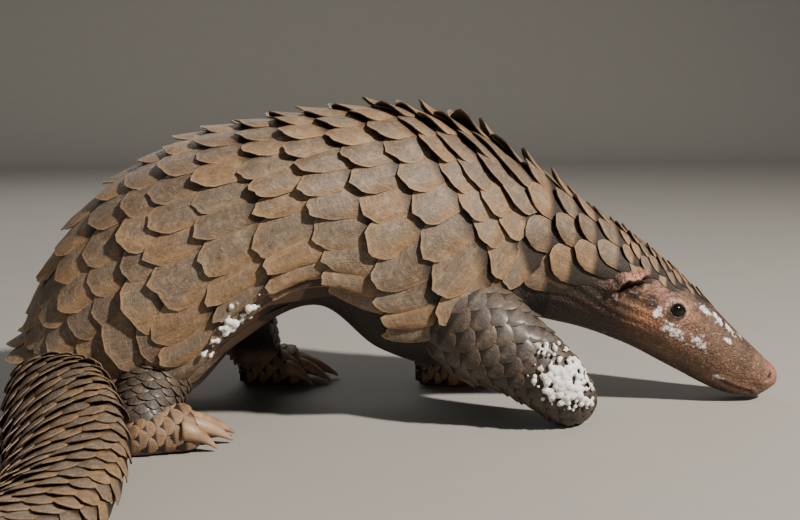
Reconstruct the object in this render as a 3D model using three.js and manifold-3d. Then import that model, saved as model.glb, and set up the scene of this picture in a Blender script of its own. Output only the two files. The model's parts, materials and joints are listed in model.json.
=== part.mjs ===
// Life-size model of a Sunda pangolin on the move, its right forelimb healed to a stump.
// Millimetres, +X towards the head, +Z up, +Y the animal's left, origin below the middle.
import * as THREE from "three";
import { mergeVertices } from "three/addons/utils/BufferGeometryUtils.js";
import Module from "manifold-3d";

const wasm = await Module();
wasm.setup();

// Joins between pieces
const GAP = 0.3;
const CUTTER = 170;
const CUTTER_DEPTH = 60;
const MERGE = 1e-3;

// Trunk stations from the nose back, the outline over the tips of the scales:
// top x, top z, underside x, underside z, half width, middle y, scale height, scaled
// angle each side of the midline in degrees, flatness of the underside
const TRUNK = {
  nose: [194.6, 17, 194.2, 7, 5.4, -9.5, 0, 0, 1],
  snout: [189, 22, 184, 2.2, 9.5, -9, 0, 0, 0.95],
  muzzle: [174, 36, 166, 4.5, 14, -7.5, 0, 0, 0.95],
  eyes: [151, 60, 141, 17, 21, -4, 1.2, 30, 0.95],
  crown: [124, 83, 114, 31, 26.5, -1.5, 2.6, 62, 0.9],
  nape: [92, 105, 82, 42, 30, 0, 4, 92, 0.85],
  neck: [60, 127, 52, 45, 37, 0, 4.6, 110, 0.8],
  shoulder: [28, 145, 24, 24, 48, 0, 5, 128, 0.72],
  chest: [-8, 153, -12, 33, 52, 0, 5.4, 128, 0.7],
  loin: [-48, 149.5, -42, 56, 54.5, 0, 5.6, 126, 0.7],
  haunch: [-90, 142, -76, 42, 56, 0, 5.6, 130, 0.7],
  hip: [-122, 128, -99, 19, 55.5, 0, 5.4, 138, 0.62],
  rump: [-153, 103, -114, 13, 52, 0, 5.2, 138, 0.6],
  stern: [-172, 72, -128, 10, 47, 0, 4.8, 128, 0.6],
  root: [-180, 48, -144, 8, 43, -1, 4.2, 118, 0.6],
};
const TRUNK_COLUMNS = 14;
const TRUNK_PITCH = 0.5;
const SPINE_SHARE = 0.48;
const TRUNK_DOME = 0.92;

// Tail stations, laid on the floor and swept to the right: centre x, y, z, lean of its
// top towards -X, heading in degrees from -X to -Y, half thickness, half width,
// scale height, scaled angle each side
const TAIL = [
  [-168, -9, 23, 0.6, 25, 19, 37, 3.8, 112],
  [-168, -31, 25, 0.64, 55, 16, 31.5, 3.8, 108],
  [-160, -63, 24, 0.66, 84, 13, 28.5, 3.8, 104],
  [-150, -97, 20.5, 0.55, 94, 12, 27.5, 3.8, 104],
  [-145, -133, 15.5, 0.3, 90, 11, 26.5, 3.6, 104],
  [-151, -169, 11.8, 0.12, 72, 10, 25.5, 3.4, 104],
  [-172, -202, 9.6, 0.02, 50, 9.2, 24, 3.2, 104],
  [-204, -226, 8.4, 0, 33, 8.4, 21.5, 3, 104],
  [-238, -241, 7.2, 0, 20, 7.2, 18, 2.6, 104],
  [-266, -249, 6, 0, 14, 6, 12, 2, 104],
  [-281, -253, 5, 0, 14, 4.5, 5, 1, 104],
];
const TAIL_COLUMNS = 10;
const TAIL_PITCH = 0.86;
const TAIL_FLATNESS = 0.5;
const TAIL_PRESS = 0.8;

// Row spacing, lift and overhang of the scales, as shares of their own height and pitch
const LEAST_PITCH = 5;
const CORNER_LIFT = 0.45;
const OVERHANG = 0.42;
const UNDERCUT = 0.16;
const TIP_BULGE = 0.24;
const SIDE_BULGE = 0.12;
const VARIATION = 0.35;
const ROUNDED = 2.4;
const SKIN_INSET = 0.7;
const SLEEVE = 1.15;

// Limbs: centre x, y, z, half depth outwards, half length, scale height, scaled angle
const STUMP = [
  [20, -27, 56, 21, 23, 0, 100],
  [36, -34, 44, 21, 23, 2.6, 100],
  [55, -40, 32, 17, 18, 2.6, 110],
  [69, -42, 20.5, 14.5, 15, 2.2, 120],
  [79, -41, 11.4, 12, 12.5, 1.6, 120],
  [87, -39.5, 7.5, 7, 8, 0, 0],
];
const FORELEG = [
  [32, 24, 60, 16, 19, 0, 100],
  [28, 33, 44, 16, 19, 2.4, 110],
  [24, 42, 28, 13, 15, 2.2, 120],
  [24, 43, 15, 11, 12, 1.6, 110],
  [25, 43, 9, 9, 10, 0, 0],
];
const HIND_RIGHT = [
  [-112, -26, 50, 14, 17, 0, 100],
  [-115, -33, 36, 13.5, 16.5, 1.8, 110],
  [-120, -44, 24, 12.5, 14.5, 2.4, 120],
  [-123, -53, 14, 11, 12.5, 1.6, 110],
  [-122.5, -55.5, 8, 10, 11, 0, 0],
];
const HIND_LEFT = [
  [-90, 30, 60, 17, 20, 0, 100],
  [-84, 41, 42, 17, 20, 2.6, 110],
  [-75, 51, 25, 12.5, 14, 2.2, 120],
  [-72, 54, 14, 11.5, 12, 1.4, 110],
  [-71, 54, 8, 10, 11, 0, 0],
];
const LIMB_COLUMNS = 8;
const LIMB_PITCH = 0.52;

// Feet: heel x, y, heading in degrees from +X to +Y, length, half width, height,
// claw lengths from the right, claw width
const FEET = {
  hind_right: { heel: [-131, -60], heading: 22, length: 32, half: 16, height: 19, claws: [10, 16, 20, 17, 11] },
  hind_left: { heel: [-80, 54], heading: 3, length: 32, half: 16, height: 19, claws: [11, 17, 20, 16, 10] },
  fore_left: { heel: [16, 44], heading: -8, length: 25, half: 16, height: 18, claws: [9, 19, 25, 17, 9] },
};
// Share of the way from heel to toes, height and width as shares of the foot's own
const FOOT_SHAPE = [
  [0, 0.45, 0.5],
  [0.15, 0.8, 0.66],
  [0.5, 1, 0.82],
  [0.8, 1, 1],
  [0.97, 0.72, 0.86],
  [1.05, 0.3, 0.5],
];
const CLAW_WIDTH = 7;
const CLAW_RISE = 0.52;
const CLAW_DROP = 0.42;
const CLAW_SIDES = 6;
const CLAW_STEPS = 4;
const CLAW_ROOT = 4;

// Face, as arc length back from the nose and angle down from the top of the head
const EYE_RADIUS = 4.4;
const EYE = { s: 71.8, angle: 80, sink: 1.7 };
const LID_TUBE = 1.5;
const EAR = { s: 101, angle: 79, tilt: 48, length: 26, height: 8.5, depth: 5, wall: 1.8 };
const NOSTRIL = { s: 5, angle: 78, radius: 1.5 };
const MOUTH = { front: 7, corner: 38, angle: 128, lip: 1.4, line: 0.8, steps: 6 };

// Parting places, as shares of the way to the next station or arc length from the tail root
const HEAD_END = 0.62;
const NECK_END = 0.35;
const WAIST = 0.1;
const TAIL_CUTS = [78, 158, 240];

const HORN = { color: 0x8a7257, roughness: 0.62, metalness: 0 };
const DARK_HORN = { color: 0x6b5a48, roughness: 0.6, metalness: 0 };
const SKIN = { color: 0xa98370, roughness: 0.7, metalness: 0 };
const CLAW = { color: 0xc9b196, roughness: 0.5, metalness: 0 };
const EYE_BLACK = { color: 0x0c0908, roughness: 0.08, metalness: 0 };

const radians = THREE.MathUtils.degToRad;
const vector = (row, at = 0) => new THREE.Vector3(row[at], row[at + 1], row[at + 2]);

// Repeatable chance value between 0 and 1 for a scale, from its row and column
function chance(row, column) {
  const wave = Math.sin(row * 12.9898 + column * 78.233) * 43758.5453;
  return wave - Math.floor(wave);
}

// Smooth cubic through rows of numbers set at the given knots
function track(knots, rows) {
  const last = rows.length - 1;
  const slopes = rows.map((row, i) => {
    const a = Math.max(i - 1, 0);
    const b = Math.min(i + 1, last);
    return row.map((_, j) => (rows[b][j] - rows[a][j]) / (knots[b] - knots[a]));
  });
  return (s) => {
    let i = 0;
    while (i < last - 1 && s > knots[i + 1]) {
      i += 1;
    }
    const span = knots[i + 1] - knots[i];
    const t = THREE.MathUtils.clamp((s - knots[i]) / span, 0, 1);
    const t2 = t * t;
    const t3 = t2 * t;
    return rows[i].map((value, j) => value * (2 * t3 - 3 * t2 + 1)
      + rows[i + 1][j] * (3 * t2 - 2 * t3)
      + slopes[i][j] * span * (t3 - 2 * t2 + t)
      + slopes[i + 1][j] * span * (t3 - t2));
  };
}

// A skin tube through stations of centre, up, side, half sizes, scales and flatness
class Tube {
  constructor(stations, columns, pitch, dome) {
    const rows = stations.map((one) => [
      ...one.centre, ...one.up, ...one.side, one.over, one.under, one.half, one.plate, one.cover, one.flat,
    ]);
    this.knots = [0];
    for (let i = 1; i < stations.length; i += 1) {
      this.knots.push(this.knots[i - 1] + stations[i].centre.distanceTo(stations[i - 1].centre));
    }
    this.track = track(this.knots, rows);
    this.length = this.knots[this.knots.length - 1];
    this.columns = columns;
    this.dome = dome;
    this.rows = [0];
    while (this.rows[this.rows.length - 1] < this.length) {
      const s = this.rows[this.rows.length - 1];
      this.rows.push(s + Math.max(LEAST_PITCH, (pitch * this.girth(s)) / columns));
    }
    this.rows[this.rows.length - 1] = this.length;
  }

  frame(s) {
    const row = this.track(THREE.MathUtils.clamp(s, 0, this.length));
    const up = vector(row, 3).normalize();
    const side = vector(row, 6).addScaledVector(up, -vector(row, 6).dot(up)).normalize();
    const [over, under, half, plate, cover, flat] = row.slice(9);
    const back = up.clone().cross(side);
    return { centre: vector(row), up, side, back, over, under, half, plate, cover, flat };
  }

  girth(s) {
    const { over, under, half } = this.frame(s);
    return 2 * Math.PI * Math.hypot((over + under) / 2, half) / Math.SQRT2;
  }

  // Skin point at arc length s and at an angle from the top towards the left side
  point(s, angle) {
    const { centre, up, side, over, under, half, flat } = this.frame(s);
    const rise = Math.cos(angle);
    const reach = Math.sin(angle);
    const power = rise > 0 ? this.dome : flat;
    const high = Math.sign(rise) * Math.abs(rise) ** power * (rise > 0 ? over : under);
    const wide = Math.sign(reach) * Math.abs(reach) ** power * half;
    return centre.clone().addScaledVector(up, high).addScaledVector(side, wide);
  }

  normal(s, angle) {
    const step = 0.6;
    const turn = 0.03;
    const along = this.point(s + step, angle).sub(this.point(s - step, angle));
    const around = this.point(s, angle + turn).sub(this.point(s, angle - turn));
    return around.cross(along).normalize();
  }

  // Height of the scale whose tip is at a lattice place, fading to bare skin at the edge
  plate(s, angle, row, column) {
    const { plate, cover } = this.frame(s);
    const turned = Math.abs(THREE.MathUtils.euclideanModulo(angle + Math.PI, 2 * Math.PI) - Math.PI);
    const edge = THREE.MathUtils.smoothstep(radians(cover) - turned, -0.02, 0.3);
    const height = plate * edge * (1 - VARIATION * chance(row, column));
    return height < 0.35 ? 0 : height;
  }
}

// Closed mesh of a tube between two arc lengths, its scales in a staggered lattice.
// Each scale is a plate: low where it leaves the tip of the one before, half raised at
// its sides and highest at its own tip, which overhangs; bare skin has no plates.
// A sleeve is the same tube without plates, clear of their tips by the gap.
function armour(tube, from, to, sleeve = false) {
  const spare = 2.6;
  const kept = tube.rows.map((s, row) => ({ s, row })).filter(({ s }, i) => {
    const pitch = tube.rows[Math.min(i + 1, tube.rows.length - 1)] - tube.rows[Math.max(i - 1, 0)];
    return s > from - spare * pitch / 2 - LEAST_PITCH && s < to + spare * pitch / 2 + LEAST_PITCH;
  });
  const last = kept.length - 1;
  const turn = 2 * Math.PI / tube.columns;
  const first = tube.frame(kept[0].s);
  const final = tube.frame(kept[last].s);
  const capShare = 0.35;
  const spareEnd = sleeve ? GAP : 0;
  const startPole = first.centre.clone().addScaledVector(first.back, -capShare * first.half - spareEnd);
  const endPole = final.centre.clone().addScaledVector(final.back, capShare * final.half + spareEnd);

  const lattice = (i, k) => {
    if (i < 0 || i > last) {
      return { pole: i < 0 ? startPole : endPole, plate: 0 };
    }
    const { s, row } = kept[i];
    const column = THREE.MathUtils.euclideanModulo(k, tube.columns);
    const angle = (column + (row % 2) / 2) * turn;
    const pitch = (kept[Math.min(i + 1, last)].s - kept[Math.max(i - 1, 0)].s) / 2;
    const plate = !sleeve && i > 0 && i < last ? tube.plate(s, angle, row, column) : 0;
    return { s, angle, pitch, plate };
  };
  const skin = (s, angle, height) => tube.point(s, angle)
    .addScaledVector(tube.normal(s, angle), sleeve ? SLEEVE * tube.frame(s).plate + GAP : height);
  const at = (place, level) => {
    if (place.pole) {
      return place.pole;
    }
    const lifted = Math.min(place.plate, 1);
    const shift = [-UNDERCUT, 0, OVERHANG][level] * place.pitch * lifted;
    const height = [0, CORNER_LIFT, 1][level] * place.plate;
    return skin(place.s + shift, place.angle, height);
  };
  // Middle of the edge from a side corner to the tip, rounding the scale's outline
  const middle = (corner, tip, hand, upper) => {
    if (corner.plate + tip.plate < 2 * ROUNDED) {
      return null;
    }
    const low = corner.pole ? tip : corner;
    const end = tip.pole ? corner : tip;
    const delta = THREE.MathUtils.euclideanModulo(end.angle - low.angle + Math.PI, 2 * Math.PI) - Math.PI;
    const lifted = Math.min((corner.plate + tip.plate) / 2, 1) * (upper ? 1 : 0);
    const s = (low.s + end.s) / 2 + (TIP_BULGE + OVERHANG / 2) * end.pitch * lifted;
    const angle = low.angle + delta / 2 + hand * SIDE_BULGE * turn * lifted;
    const height = upper ? (CORNER_LIFT * corner.plate + tip.plate) / 2 : CORNER_LIFT * tip.plate / 2;
    return skin(s, angle, height);
  };
  const triangles = [];
  const fan = (corners) => {
    const points = corners.filter(Boolean);
    for (let i = 1; i < points.length - 1; i += 1) {
      triangles.push(points[0], points[i], points[i + 1]);
    }
  };
  // Edge face of a plate, between its upper outline and its foot
  const wall = (upper, foot) => {
    const above = upper.filter(Boolean);
    const below = foot.filter(Boolean);
    for (let i = 0; i < above.length - 1; i += 1) {
      fan([above[i], above[i + 1], below[i + 1], below[i]]);
    }
  };
  const LOW = 0;
  const MID = 1;
  const HIGH = 2;
  for (let i = 1; i <= last + 1; i += 1) {
    const odd = (kept[0].row + i) % 2 !== 0;
    for (let k = 0; k < tube.columns; k += 1) {
      const tip = lattice(i, k);
      const top = lattice(i - 2, k);
      const left = lattice(i - 1, odd ? k : k - 1);
      const right = lattice(i - 1, odd ? k + 1 : k);
      const leftMiddle = middle(left, tip, -1, true);
      const rightMiddle = middle(right, tip, 1, true);
      const leftFoot = middle(left, tip, -1, false);
      const rightFoot = middle(right, tip, 1, false);
      fan([at(tip, HIGH), leftMiddle, at(left, MID), middle(top, left, 1, false), at(top, LOW),
        middle(top, right, -1, false), at(right, MID), rightMiddle]);
      wall([at(left, MID), leftMiddle, at(tip, HIGH)], [at(left, LOW), leftFoot, at(tip, MID)]);
      wall([at(tip, HIGH), rightMiddle, at(right, MID)], [at(tip, MID), rightFoot, at(right, LOW)]);
    }
  }
  return soup(triangles);
}

// Merged geometry from loose triangles, without the ones that have shrunk to a line
function soup(points) {
  const geometry = new THREE.BufferGeometry().setFromPoints(points);
  const merged = mergeVertices(geometry, MERGE);
  const index = merged.getIndex().array;
  const faces = [];
  for (let i = 0; i < index.length; i += 3) {
    const [a, b, c] = index.slice(i, i + 3);
    if (a !== b && b !== c && c !== a) {
      faces.push(a, b, c);
    }
  }
  merged.setIndex(faces);
  return merged;
}

// Closed solid for joining and cutting
function solid(geometry) {
  const bare = geometry.clone();
  bare.deleteAttribute("normal");
  bare.deleteAttribute("uv");
  const merged = soup(pointsOf(bare));
  return new wasm.Manifold(new wasm.Mesh({
    numProp: 3,
    vertProperties: new Float32Array(merged.getAttribute("position").array),
    triVerts: new Uint32Array(merged.getIndex().array),
  }));
}

function pointsOf(geometry) {
  const loose = geometry.index ? geometry.toNonIndexed() : geometry;
  const position = loose.getAttribute("position");
  const points = [];
  for (let i = 0; i < position.count; i += 1) {
    points.push(new THREE.Vector3().fromBufferAttribute(position, i));
  }
  return points;
}

// The largest closed body of a solid
function largest(body) {
  const pieces = body.decompose();
  return pieces.reduce((best, piece) => (piece.volume() > best.volume() ? piece : best));
}

function geometryOf(body) {
  const mesh = body.getMesh();
  const geometry = new THREE.BufferGeometry();
  geometry.setAttribute("position", new THREE.BufferAttribute(new Float32Array(mesh.vertProperties), 3));
  geometry.setIndex(Array.from(mesh.triVerts));
  return geometry;
}

// Block that takes away what lies past the plane across a tube at arc length s
function cutter(tube, s, towards) {
  const { centre, up, side, back } = tube.frame(s);
  const block = new THREE.BoxGeometry(CUTTER_DEPTH, CUTTER, CUTTER);
  const middle = centre.clone().addScaledVector(back, towards * (CUTTER_DEPTH / 2 - GAP / 2));
  const basis = new THREE.Matrix4().makeBasis(back, side, back.clone().cross(side));
  basis.setPosition(middle);
  return solid(block.applyMatrix4(basis));
}

// Length of a tube between two parting planes, or to its own end where none is given
function lengthOf(tube, from, to) {
  let body = solid(armour(tube, from ?? 0, to ?? tube.length));
  if (from !== null) {
    body = body.subtract(cutter(tube, from, -1));
  }
  if (to !== null) {
    body = body.subtract(cutter(tube, to, 1));
  }
  return largest(body);
}

// Tube of few sides along points, with a radius for each, closed by a point at both ends
function bead(points, radii, sides, wide = 1) {
  const rings = points.map((point, i) => {
    const along = points[Math.min(i + 1, points.length - 1)].clone()
      .sub(points[Math.max(i - 1, 0)]).normalize();
    const across = new THREE.Vector3(0, 0, 1).cross(along).normalize();
    const rise = along.clone().cross(across);
    return Array.from({ length: sides }, (_, k) => {
      const angle = 2 * Math.PI * k / sides;
      return point.clone().addScaledVector(across, Math.cos(angle) * radii[i] * wide)
        .addScaledVector(rise, Math.sin(angle) * radii[i]);
    });
  });
  const triangles = [];
  for (let k = 0; k < sides; k += 1) {
    const next = (k + 1) % sides;
    for (let i = 0; i < rings.length - 1; i += 1) {
      triangles.push(rings[i][k], rings[i][next], rings[i + 1][next]);
      triangles.push(rings[i][k], rings[i + 1][next], rings[i + 1][k]);
    }
    triangles.push(points[0], rings[0][next], rings[0][k]);
    triangles.push(points[points.length - 1], rings[rings.length - 1][k], rings[rings.length - 1][next]);
  }
  return soup(triangles);
}

// Stations of the trunk, the skin lying inside the outline by most of the scale height
function trunkStations() {
  return Object.values(TRUNK).map(([topX, topZ, lowX, lowZ, half, y, plate, cover, flat]) => {
    const top = new THREE.Vector3(topX, y, topZ);
    const low = new THREE.Vector3(lowX, y, lowZ);
    const height = top.distanceTo(low);
    return {
      centre: low.clone().lerp(top, SPINE_SHARE),
      up: top.clone().sub(low).normalize(),
      side: new THREE.Vector3(y / 100, 1, 0),
      over: (1 - SPINE_SHARE) * height - SKIN_INSET * plate,
      under: SPINE_SHARE * height,
      half: half - SKIN_INSET * plate,
      plate,
      cover,
      flat,
    };
  });
}

function tailStations() {
  return TAIL.map(([x, y, z, lean, heading, thick, half, plate, cover]) => ({
    centre: new THREE.Vector3(x, y, z - TAIL_PRESS),
    up: new THREE.Vector3(-lean, 0, Math.sqrt(1 - lean * lean)),
    side: new THREE.Vector3(-Math.sin(radians(heading)), Math.cos(radians(heading)), 0),
    over: thick - SKIN_INSET * plate,
    under: thick,
    half: half - SKIN_INSET * plate,
    plate,
    cover,
    flat: TAIL_FLATNESS,
  }));
}

// Stations of a limb, its scaled face turned outwards, -1 to the right or 1 to the left
function limbStations(rows, hand) {
  const centres = rows.map((row) => vector(row));
  return rows.map((row, i) => {
    const along = centres[Math.min(i + 1, rows.length - 1)].clone()
      .sub(centres[Math.max(i - 1, 0)]).normalize();
    const up = new THREE.Vector3(0, hand, 0).addScaledVector(along, -hand * along.y).normalize();
    const [, , , depth, half, plate, cover] = row;
    return {
      centre: centres[i],
      up,
      side: along.clone().cross(up),
      over: depth,
      under: depth,
      half,
      plate,
      cover,
      flat: 1,
    };
  });
}

const body = trunkStations();
const trunk = new Tube(body, TRUNK_COLUMNS, TRUNK_PITCH, TRUNK_DOME);
const tail = new Tube([...body.slice(-3), ...tailStations()], TAIL_COLUMNS, TAIL_PITCH, 1);
const names = Object.keys(TRUNK);
const knot = (name, share = 0) => {
  const i = names.indexOf(name);
  return THREE.MathUtils.lerp(trunk.knots[i], trunk.knots[Math.min(i + 1, names.length - 1)], share);
};
const headEnd = knot("crown", HEAD_END);
const neckEnd = knot("neck", NECK_END);
const waist = knot("loin", WAIST);
const tailRoot = tail.knots[2];

// Eye, lids, nostrils, lips and the line of the mouth
function eyeCentre(hand) {
  const angle = hand * radians(EYE.angle);
  return trunk.point(EYE.s, angle).addScaledVector(trunk.normal(EYE.s, angle), -EYE.sink);
}

function sphere(radius, centre, scale = [1, 1, 1], parts = [12, 7]) {
  return new THREE.SphereGeometry(radius, ...parts).scale(...scale).translate(...centre);
}

function lids(hand) {
  const outward = trunk.normal(EYE.s, hand * radians(EYE.angle));
  const turn = new THREE.Quaternion().setFromUnitVectors(new THREE.Vector3(0, 0, 1), outward);
  const middle = eyeCentre(hand).addScaledVector(outward, EYE.sink * 0.9);
  const ring = new THREE.TorusGeometry(EYE_RADIUS, LID_TUBE, 6, 12).scale(1.2, 0.95, 1);
  return solid(ring.applyQuaternion(turn).translate(...middle));
}

// Path of the mouth from corner to corner, lowest and furthest forward in the middle
function mouthPath(drop) {
  return Array.from({ length: 2 * MOUTH.steps + 1 }, (_, i) => {
    const share = i / MOUTH.steps - 1;
    const s = THREE.MathUtils.lerp(MOUTH.front, MOUTH.corner, Math.abs(share) ** 1.6) + drop * 0.5;
    const opened = Math.min(1, Math.abs(share) * 2.4);
    const angle = THREE.MathUtils.lerp(180, MOUTH.angle + 5 * drop, opened);
    return trunk.point(s, Math.sign(share || 1) * radians(angle));
  });
}

function mouthBead(drop, radius) {
  const points = mouthPath(drop);
  const radii = points.map((_, i) => radius * Math.sqrt(Math.sin(Math.PI * (i + 1) / (points.length + 1))));
  return solid(bead(points, radii, 5));
}

function nostril(hand) {
  const centre = trunk.point(NOSTRIL.s, hand * radians(NOSTRIL.angle));
  return solid(sphere(NOSTRIL.radius, centre, [1, 1, 1], [8, 6]));
}

function headSolid() {
  let head = lengthOf(trunk, null, headEnd);
  for (const hand of [-1, 1]) {
    head = head.add(lids(hand));
  }
  head = head.add(mouthBead(-1, MOUTH.lip)).add(mouthBead(1, MOUTH.lip));
  head = head.subtract(mouthBead(0, MOUTH.line));
  for (const hand of [-1, 1]) {
    head = head.subtract(solid(sphere(EYE_RADIUS + GAP, eyeCentre(hand))));
    head = head.subtract(nostril(hand)).subtract(ear(hand, GAP));
  }
  return largest(head);
}

// Ear: a low cupped fold, open to the front, whose root sits in a socket of the head
function ear(hand, grow) {
  const angle = hand * radians(EAR.angle);
  const root = trunk.point(EAR.s, angle);
  const outward = trunk.normal(EAR.s, angle);
  const forward = trunk.point(EAR.s - 8, angle).sub(root).normalize();
  const along = forward.applyAxisAngle(outward, -hand * radians(EAR.tilt));
  const basis = new THREE.Matrix4().makeBasis(along, outward.clone().cross(along), outward);
  basis.setPosition(root);
  const outer = new THREE.SphereGeometry(1, 10, 6)
    .scale(EAR.length / 2 + grow, EAR.height / 2 + grow, EAR.depth + grow);
  if (grow > 0) {
    return solid(outer.applyMatrix4(basis));
  }
  const inner = new THREE.SphereGeometry(1, 8, 6)
    .scale(EAR.length / 2 - EAR.wall, EAR.height / 2 - EAR.wall, EAR.depth)
    .translate(EAR.wall, 0, EAR.wall);
  return largest(solid(outer.applyMatrix4(basis)).subtract(solid(inner.applyMatrix4(basis))));
}

// Foot: a low pad on the floor with a rounded heel, and the claws along its front
function footTube(foot) {
  const along = new THREE.Vector3(Math.cos(radians(foot.heading)), Math.sin(radians(foot.heading)), 0);
  const side = new THREE.Vector3(0, 0, 1).cross(along).negate();
  const stations = FOOT_SHAPE.map(([share, rise, width]) => ({
    centre: new THREE.Vector3(...foot.heel, foot.height * 0.42).addScaledVector(along, share * foot.length),
    up: new THREE.Vector3(0, 0, 1),
    side: side.clone().negate(),
    over: foot.height * 0.58 * rise,
    under: foot.height * 0.46,
    half: foot.half * width,
    plate: 0,
    cover: 0,
    flat: 0.6,
  }));
  const tube = new Tube(stations.reverse(), LIMB_COLUMNS, LIMB_PITCH, 1);
  return { tube, along, side };
}

const floored = (body) => largest(body.trimByPlane([0, 0, 1], 0));

function clawGeometry(foot, along, side, index, grow) {
  const count = foot.claws.length;
  const spread = (index - (count - 1) / 2) / ((count - 1) / 2);
  const length = foot.claws[index];
  const heading = along.clone().addScaledVector(side, 0.28 * spread).normalize();
  const root = new THREE.Vector3(...foot.heel, foot.height * CLAW_RISE)
    .addScaledVector(along, foot.length * (1 - 0.16 * spread * spread) - CLAW_ROOT)
    .addScaledVector(side, foot.half * 0.84 * spread);
  const points = [];
  const radii = [];
  for (let i = 0; i <= CLAW_STEPS; i += 1) {
    const share = i / CLAW_STEPS;
    const reach = share * (length + CLAW_ROOT);
    const drop = foot.height * CLAW_DROP * share * share;
    points.push(root.clone().addScaledVector(heading, reach).setZ(root.z - drop));
    radii.push((CLAW_WIDTH / 2) * (1 - 0.82 * share ** 2) + grow);
  }
  return bead(points, radii, CLAW_SIDES, 0.9);
}

// Colour, solid and name of every piece
const pieces = [];
const keep = (name, geometry, look) => pieces.push({ name, geometry, look });

const LEGS = {
  hind_right: { rows: HIND_RIGHT, hand: -1, leg: "hind_leg_right", foot: "hind_foot_right" },
  hind_left: { rows: HIND_LEFT, hand: 1, leg: "hind_leg_left", foot: "hind_foot_left" },
  fore_left: { rows: FORELEG, hand: 1, leg: "foreleg_left", foot: "forefoot_left" },
};
const limb = (rows, hand) => new Tube(limbStations(rows, hand), LIMB_COLUMNS, LIMB_PITCH, 1);
const whole = (tube) => solid(armour(tube, 0, tube.length));
const sleeve = (tube) => solid(armour(tube, 0, tube.length, true));

const stump = limb(STUMP, -1);
keep("foreleg_right", geometryOf(floored(whole(stump))), DARK_HORN);
const sleeves = [sleeve(stump)];
for (const [key, { rows, hand, leg, foot: footName }] of Object.entries(LEGS)) {
  const foot = FEET[key];
  const shank = limb(rows, hand);
  const { tube, along, side } = footTube(foot);
  let pad = whole(tube).subtract(sleeve(shank));
  foot.claws.forEach((_, i) => {
    pad = pad.subtract(solid(clawGeometry(foot, along, side, i, GAP)));
    const claw = floored(solid(clawGeometry(foot, along, side, i, 0)));
    keep(`${footName}_claw_${i + 1}`, geometryOf(claw), CLAW);
  });
  keep(footName, geometryOf(floored(pad)), DARK_HORN);
  keep(leg, geometryOf(whole(shank)), DARK_HORN);
  sleeves.push(sleeve(shank));
}

// Trunk and tail lengths, with a socket for the root of each limb
const socketed = (body) => largest(sleeves.reduce((sum, one) => sum.subtract(one), body));
keep("head", geometryOf(headSolid()), HORN);
keep("neck", geometryOf(socketed(lengthOf(trunk, headEnd, neckEnd))), HORN);
keep("torso_front", geometryOf(socketed(lengthOf(trunk, neckEnd, waist))), HORN);
keep("torso_rear", geometryOf(socketed(lengthOf(trunk, waist, trunk.length))), HORN);
const tailCuts = [0, ...TAIL_CUTS].map((cut) => tailRoot + cut);
["tail_base", "tail_second", "tail_third", "tail_tip"].forEach((name, i) => {
  keep(name, geometryOf(floored(lengthOf(tail, tailCuts[i], tailCuts[i + 1] ?? null))), HORN);
});
for (const [name, hand] of [["right", -1], ["left", 1]]) {
  keep(`eye_${name}`, sphere(EYE_RADIUS, eyeCentre(hand)), EYE_BLACK);
  keep(`ear_${name}`, geometryOf(ear(hand, 0)), SKIN);
}

// The whole, moved so that the origin lies below the middle of its box
const group = new THREE.Group();
const box = new THREE.Box3();
pieces.forEach(({ geometry }) => {
  geometry.computeBoundingBox();
  box.union(geometry.boundingBox);
});
const middle = box.getCenter(new THREE.Vector3());
for (const { name, geometry, look } of pieces) {
  const mesh = new THREE.Mesh(geometry, new THREE.MeshStandardMaterial(look));
  mesh.name = name;
  mesh.position.set(-middle.x, -middle.y, -box.min.z);
  group.add(mesh);
}

export default group;
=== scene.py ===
"""Looks of a life-size Sunda pangolin on the move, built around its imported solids."""

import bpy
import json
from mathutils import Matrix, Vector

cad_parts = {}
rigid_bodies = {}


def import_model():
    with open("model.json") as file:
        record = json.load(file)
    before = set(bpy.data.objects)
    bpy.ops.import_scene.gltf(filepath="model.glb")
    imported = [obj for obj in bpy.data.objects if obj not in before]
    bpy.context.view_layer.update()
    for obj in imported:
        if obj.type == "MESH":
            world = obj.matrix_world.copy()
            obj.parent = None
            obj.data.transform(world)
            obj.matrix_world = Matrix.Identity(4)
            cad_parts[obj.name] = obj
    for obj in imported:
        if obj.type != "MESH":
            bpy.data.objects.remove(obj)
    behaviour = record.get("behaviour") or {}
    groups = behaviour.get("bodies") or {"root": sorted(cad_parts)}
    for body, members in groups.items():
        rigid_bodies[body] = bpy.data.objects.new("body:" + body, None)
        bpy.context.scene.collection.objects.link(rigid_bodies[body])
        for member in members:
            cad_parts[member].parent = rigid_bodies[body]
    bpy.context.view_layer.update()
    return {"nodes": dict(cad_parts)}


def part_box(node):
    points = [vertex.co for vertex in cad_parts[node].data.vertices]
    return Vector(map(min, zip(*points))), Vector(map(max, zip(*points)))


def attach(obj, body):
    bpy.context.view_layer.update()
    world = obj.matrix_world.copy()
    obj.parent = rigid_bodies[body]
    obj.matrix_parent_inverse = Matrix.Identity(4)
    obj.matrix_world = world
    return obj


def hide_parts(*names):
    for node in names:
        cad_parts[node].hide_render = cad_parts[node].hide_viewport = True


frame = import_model()

import json
import math

import bmesh
import bpy
import numpy as np
from mathutils import Vector

bl_info = {
    "name": "Pangolin",
    "version": (1, 0, 0),
    "blender": (4, 5, 0),
    "location": "3D View > Sidebar > Pangolin",
    "description": "Skin, scales, claws, eyes and stage of a life-size pangolin",
    "category": "Object",
}

BODY = "root"

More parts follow.
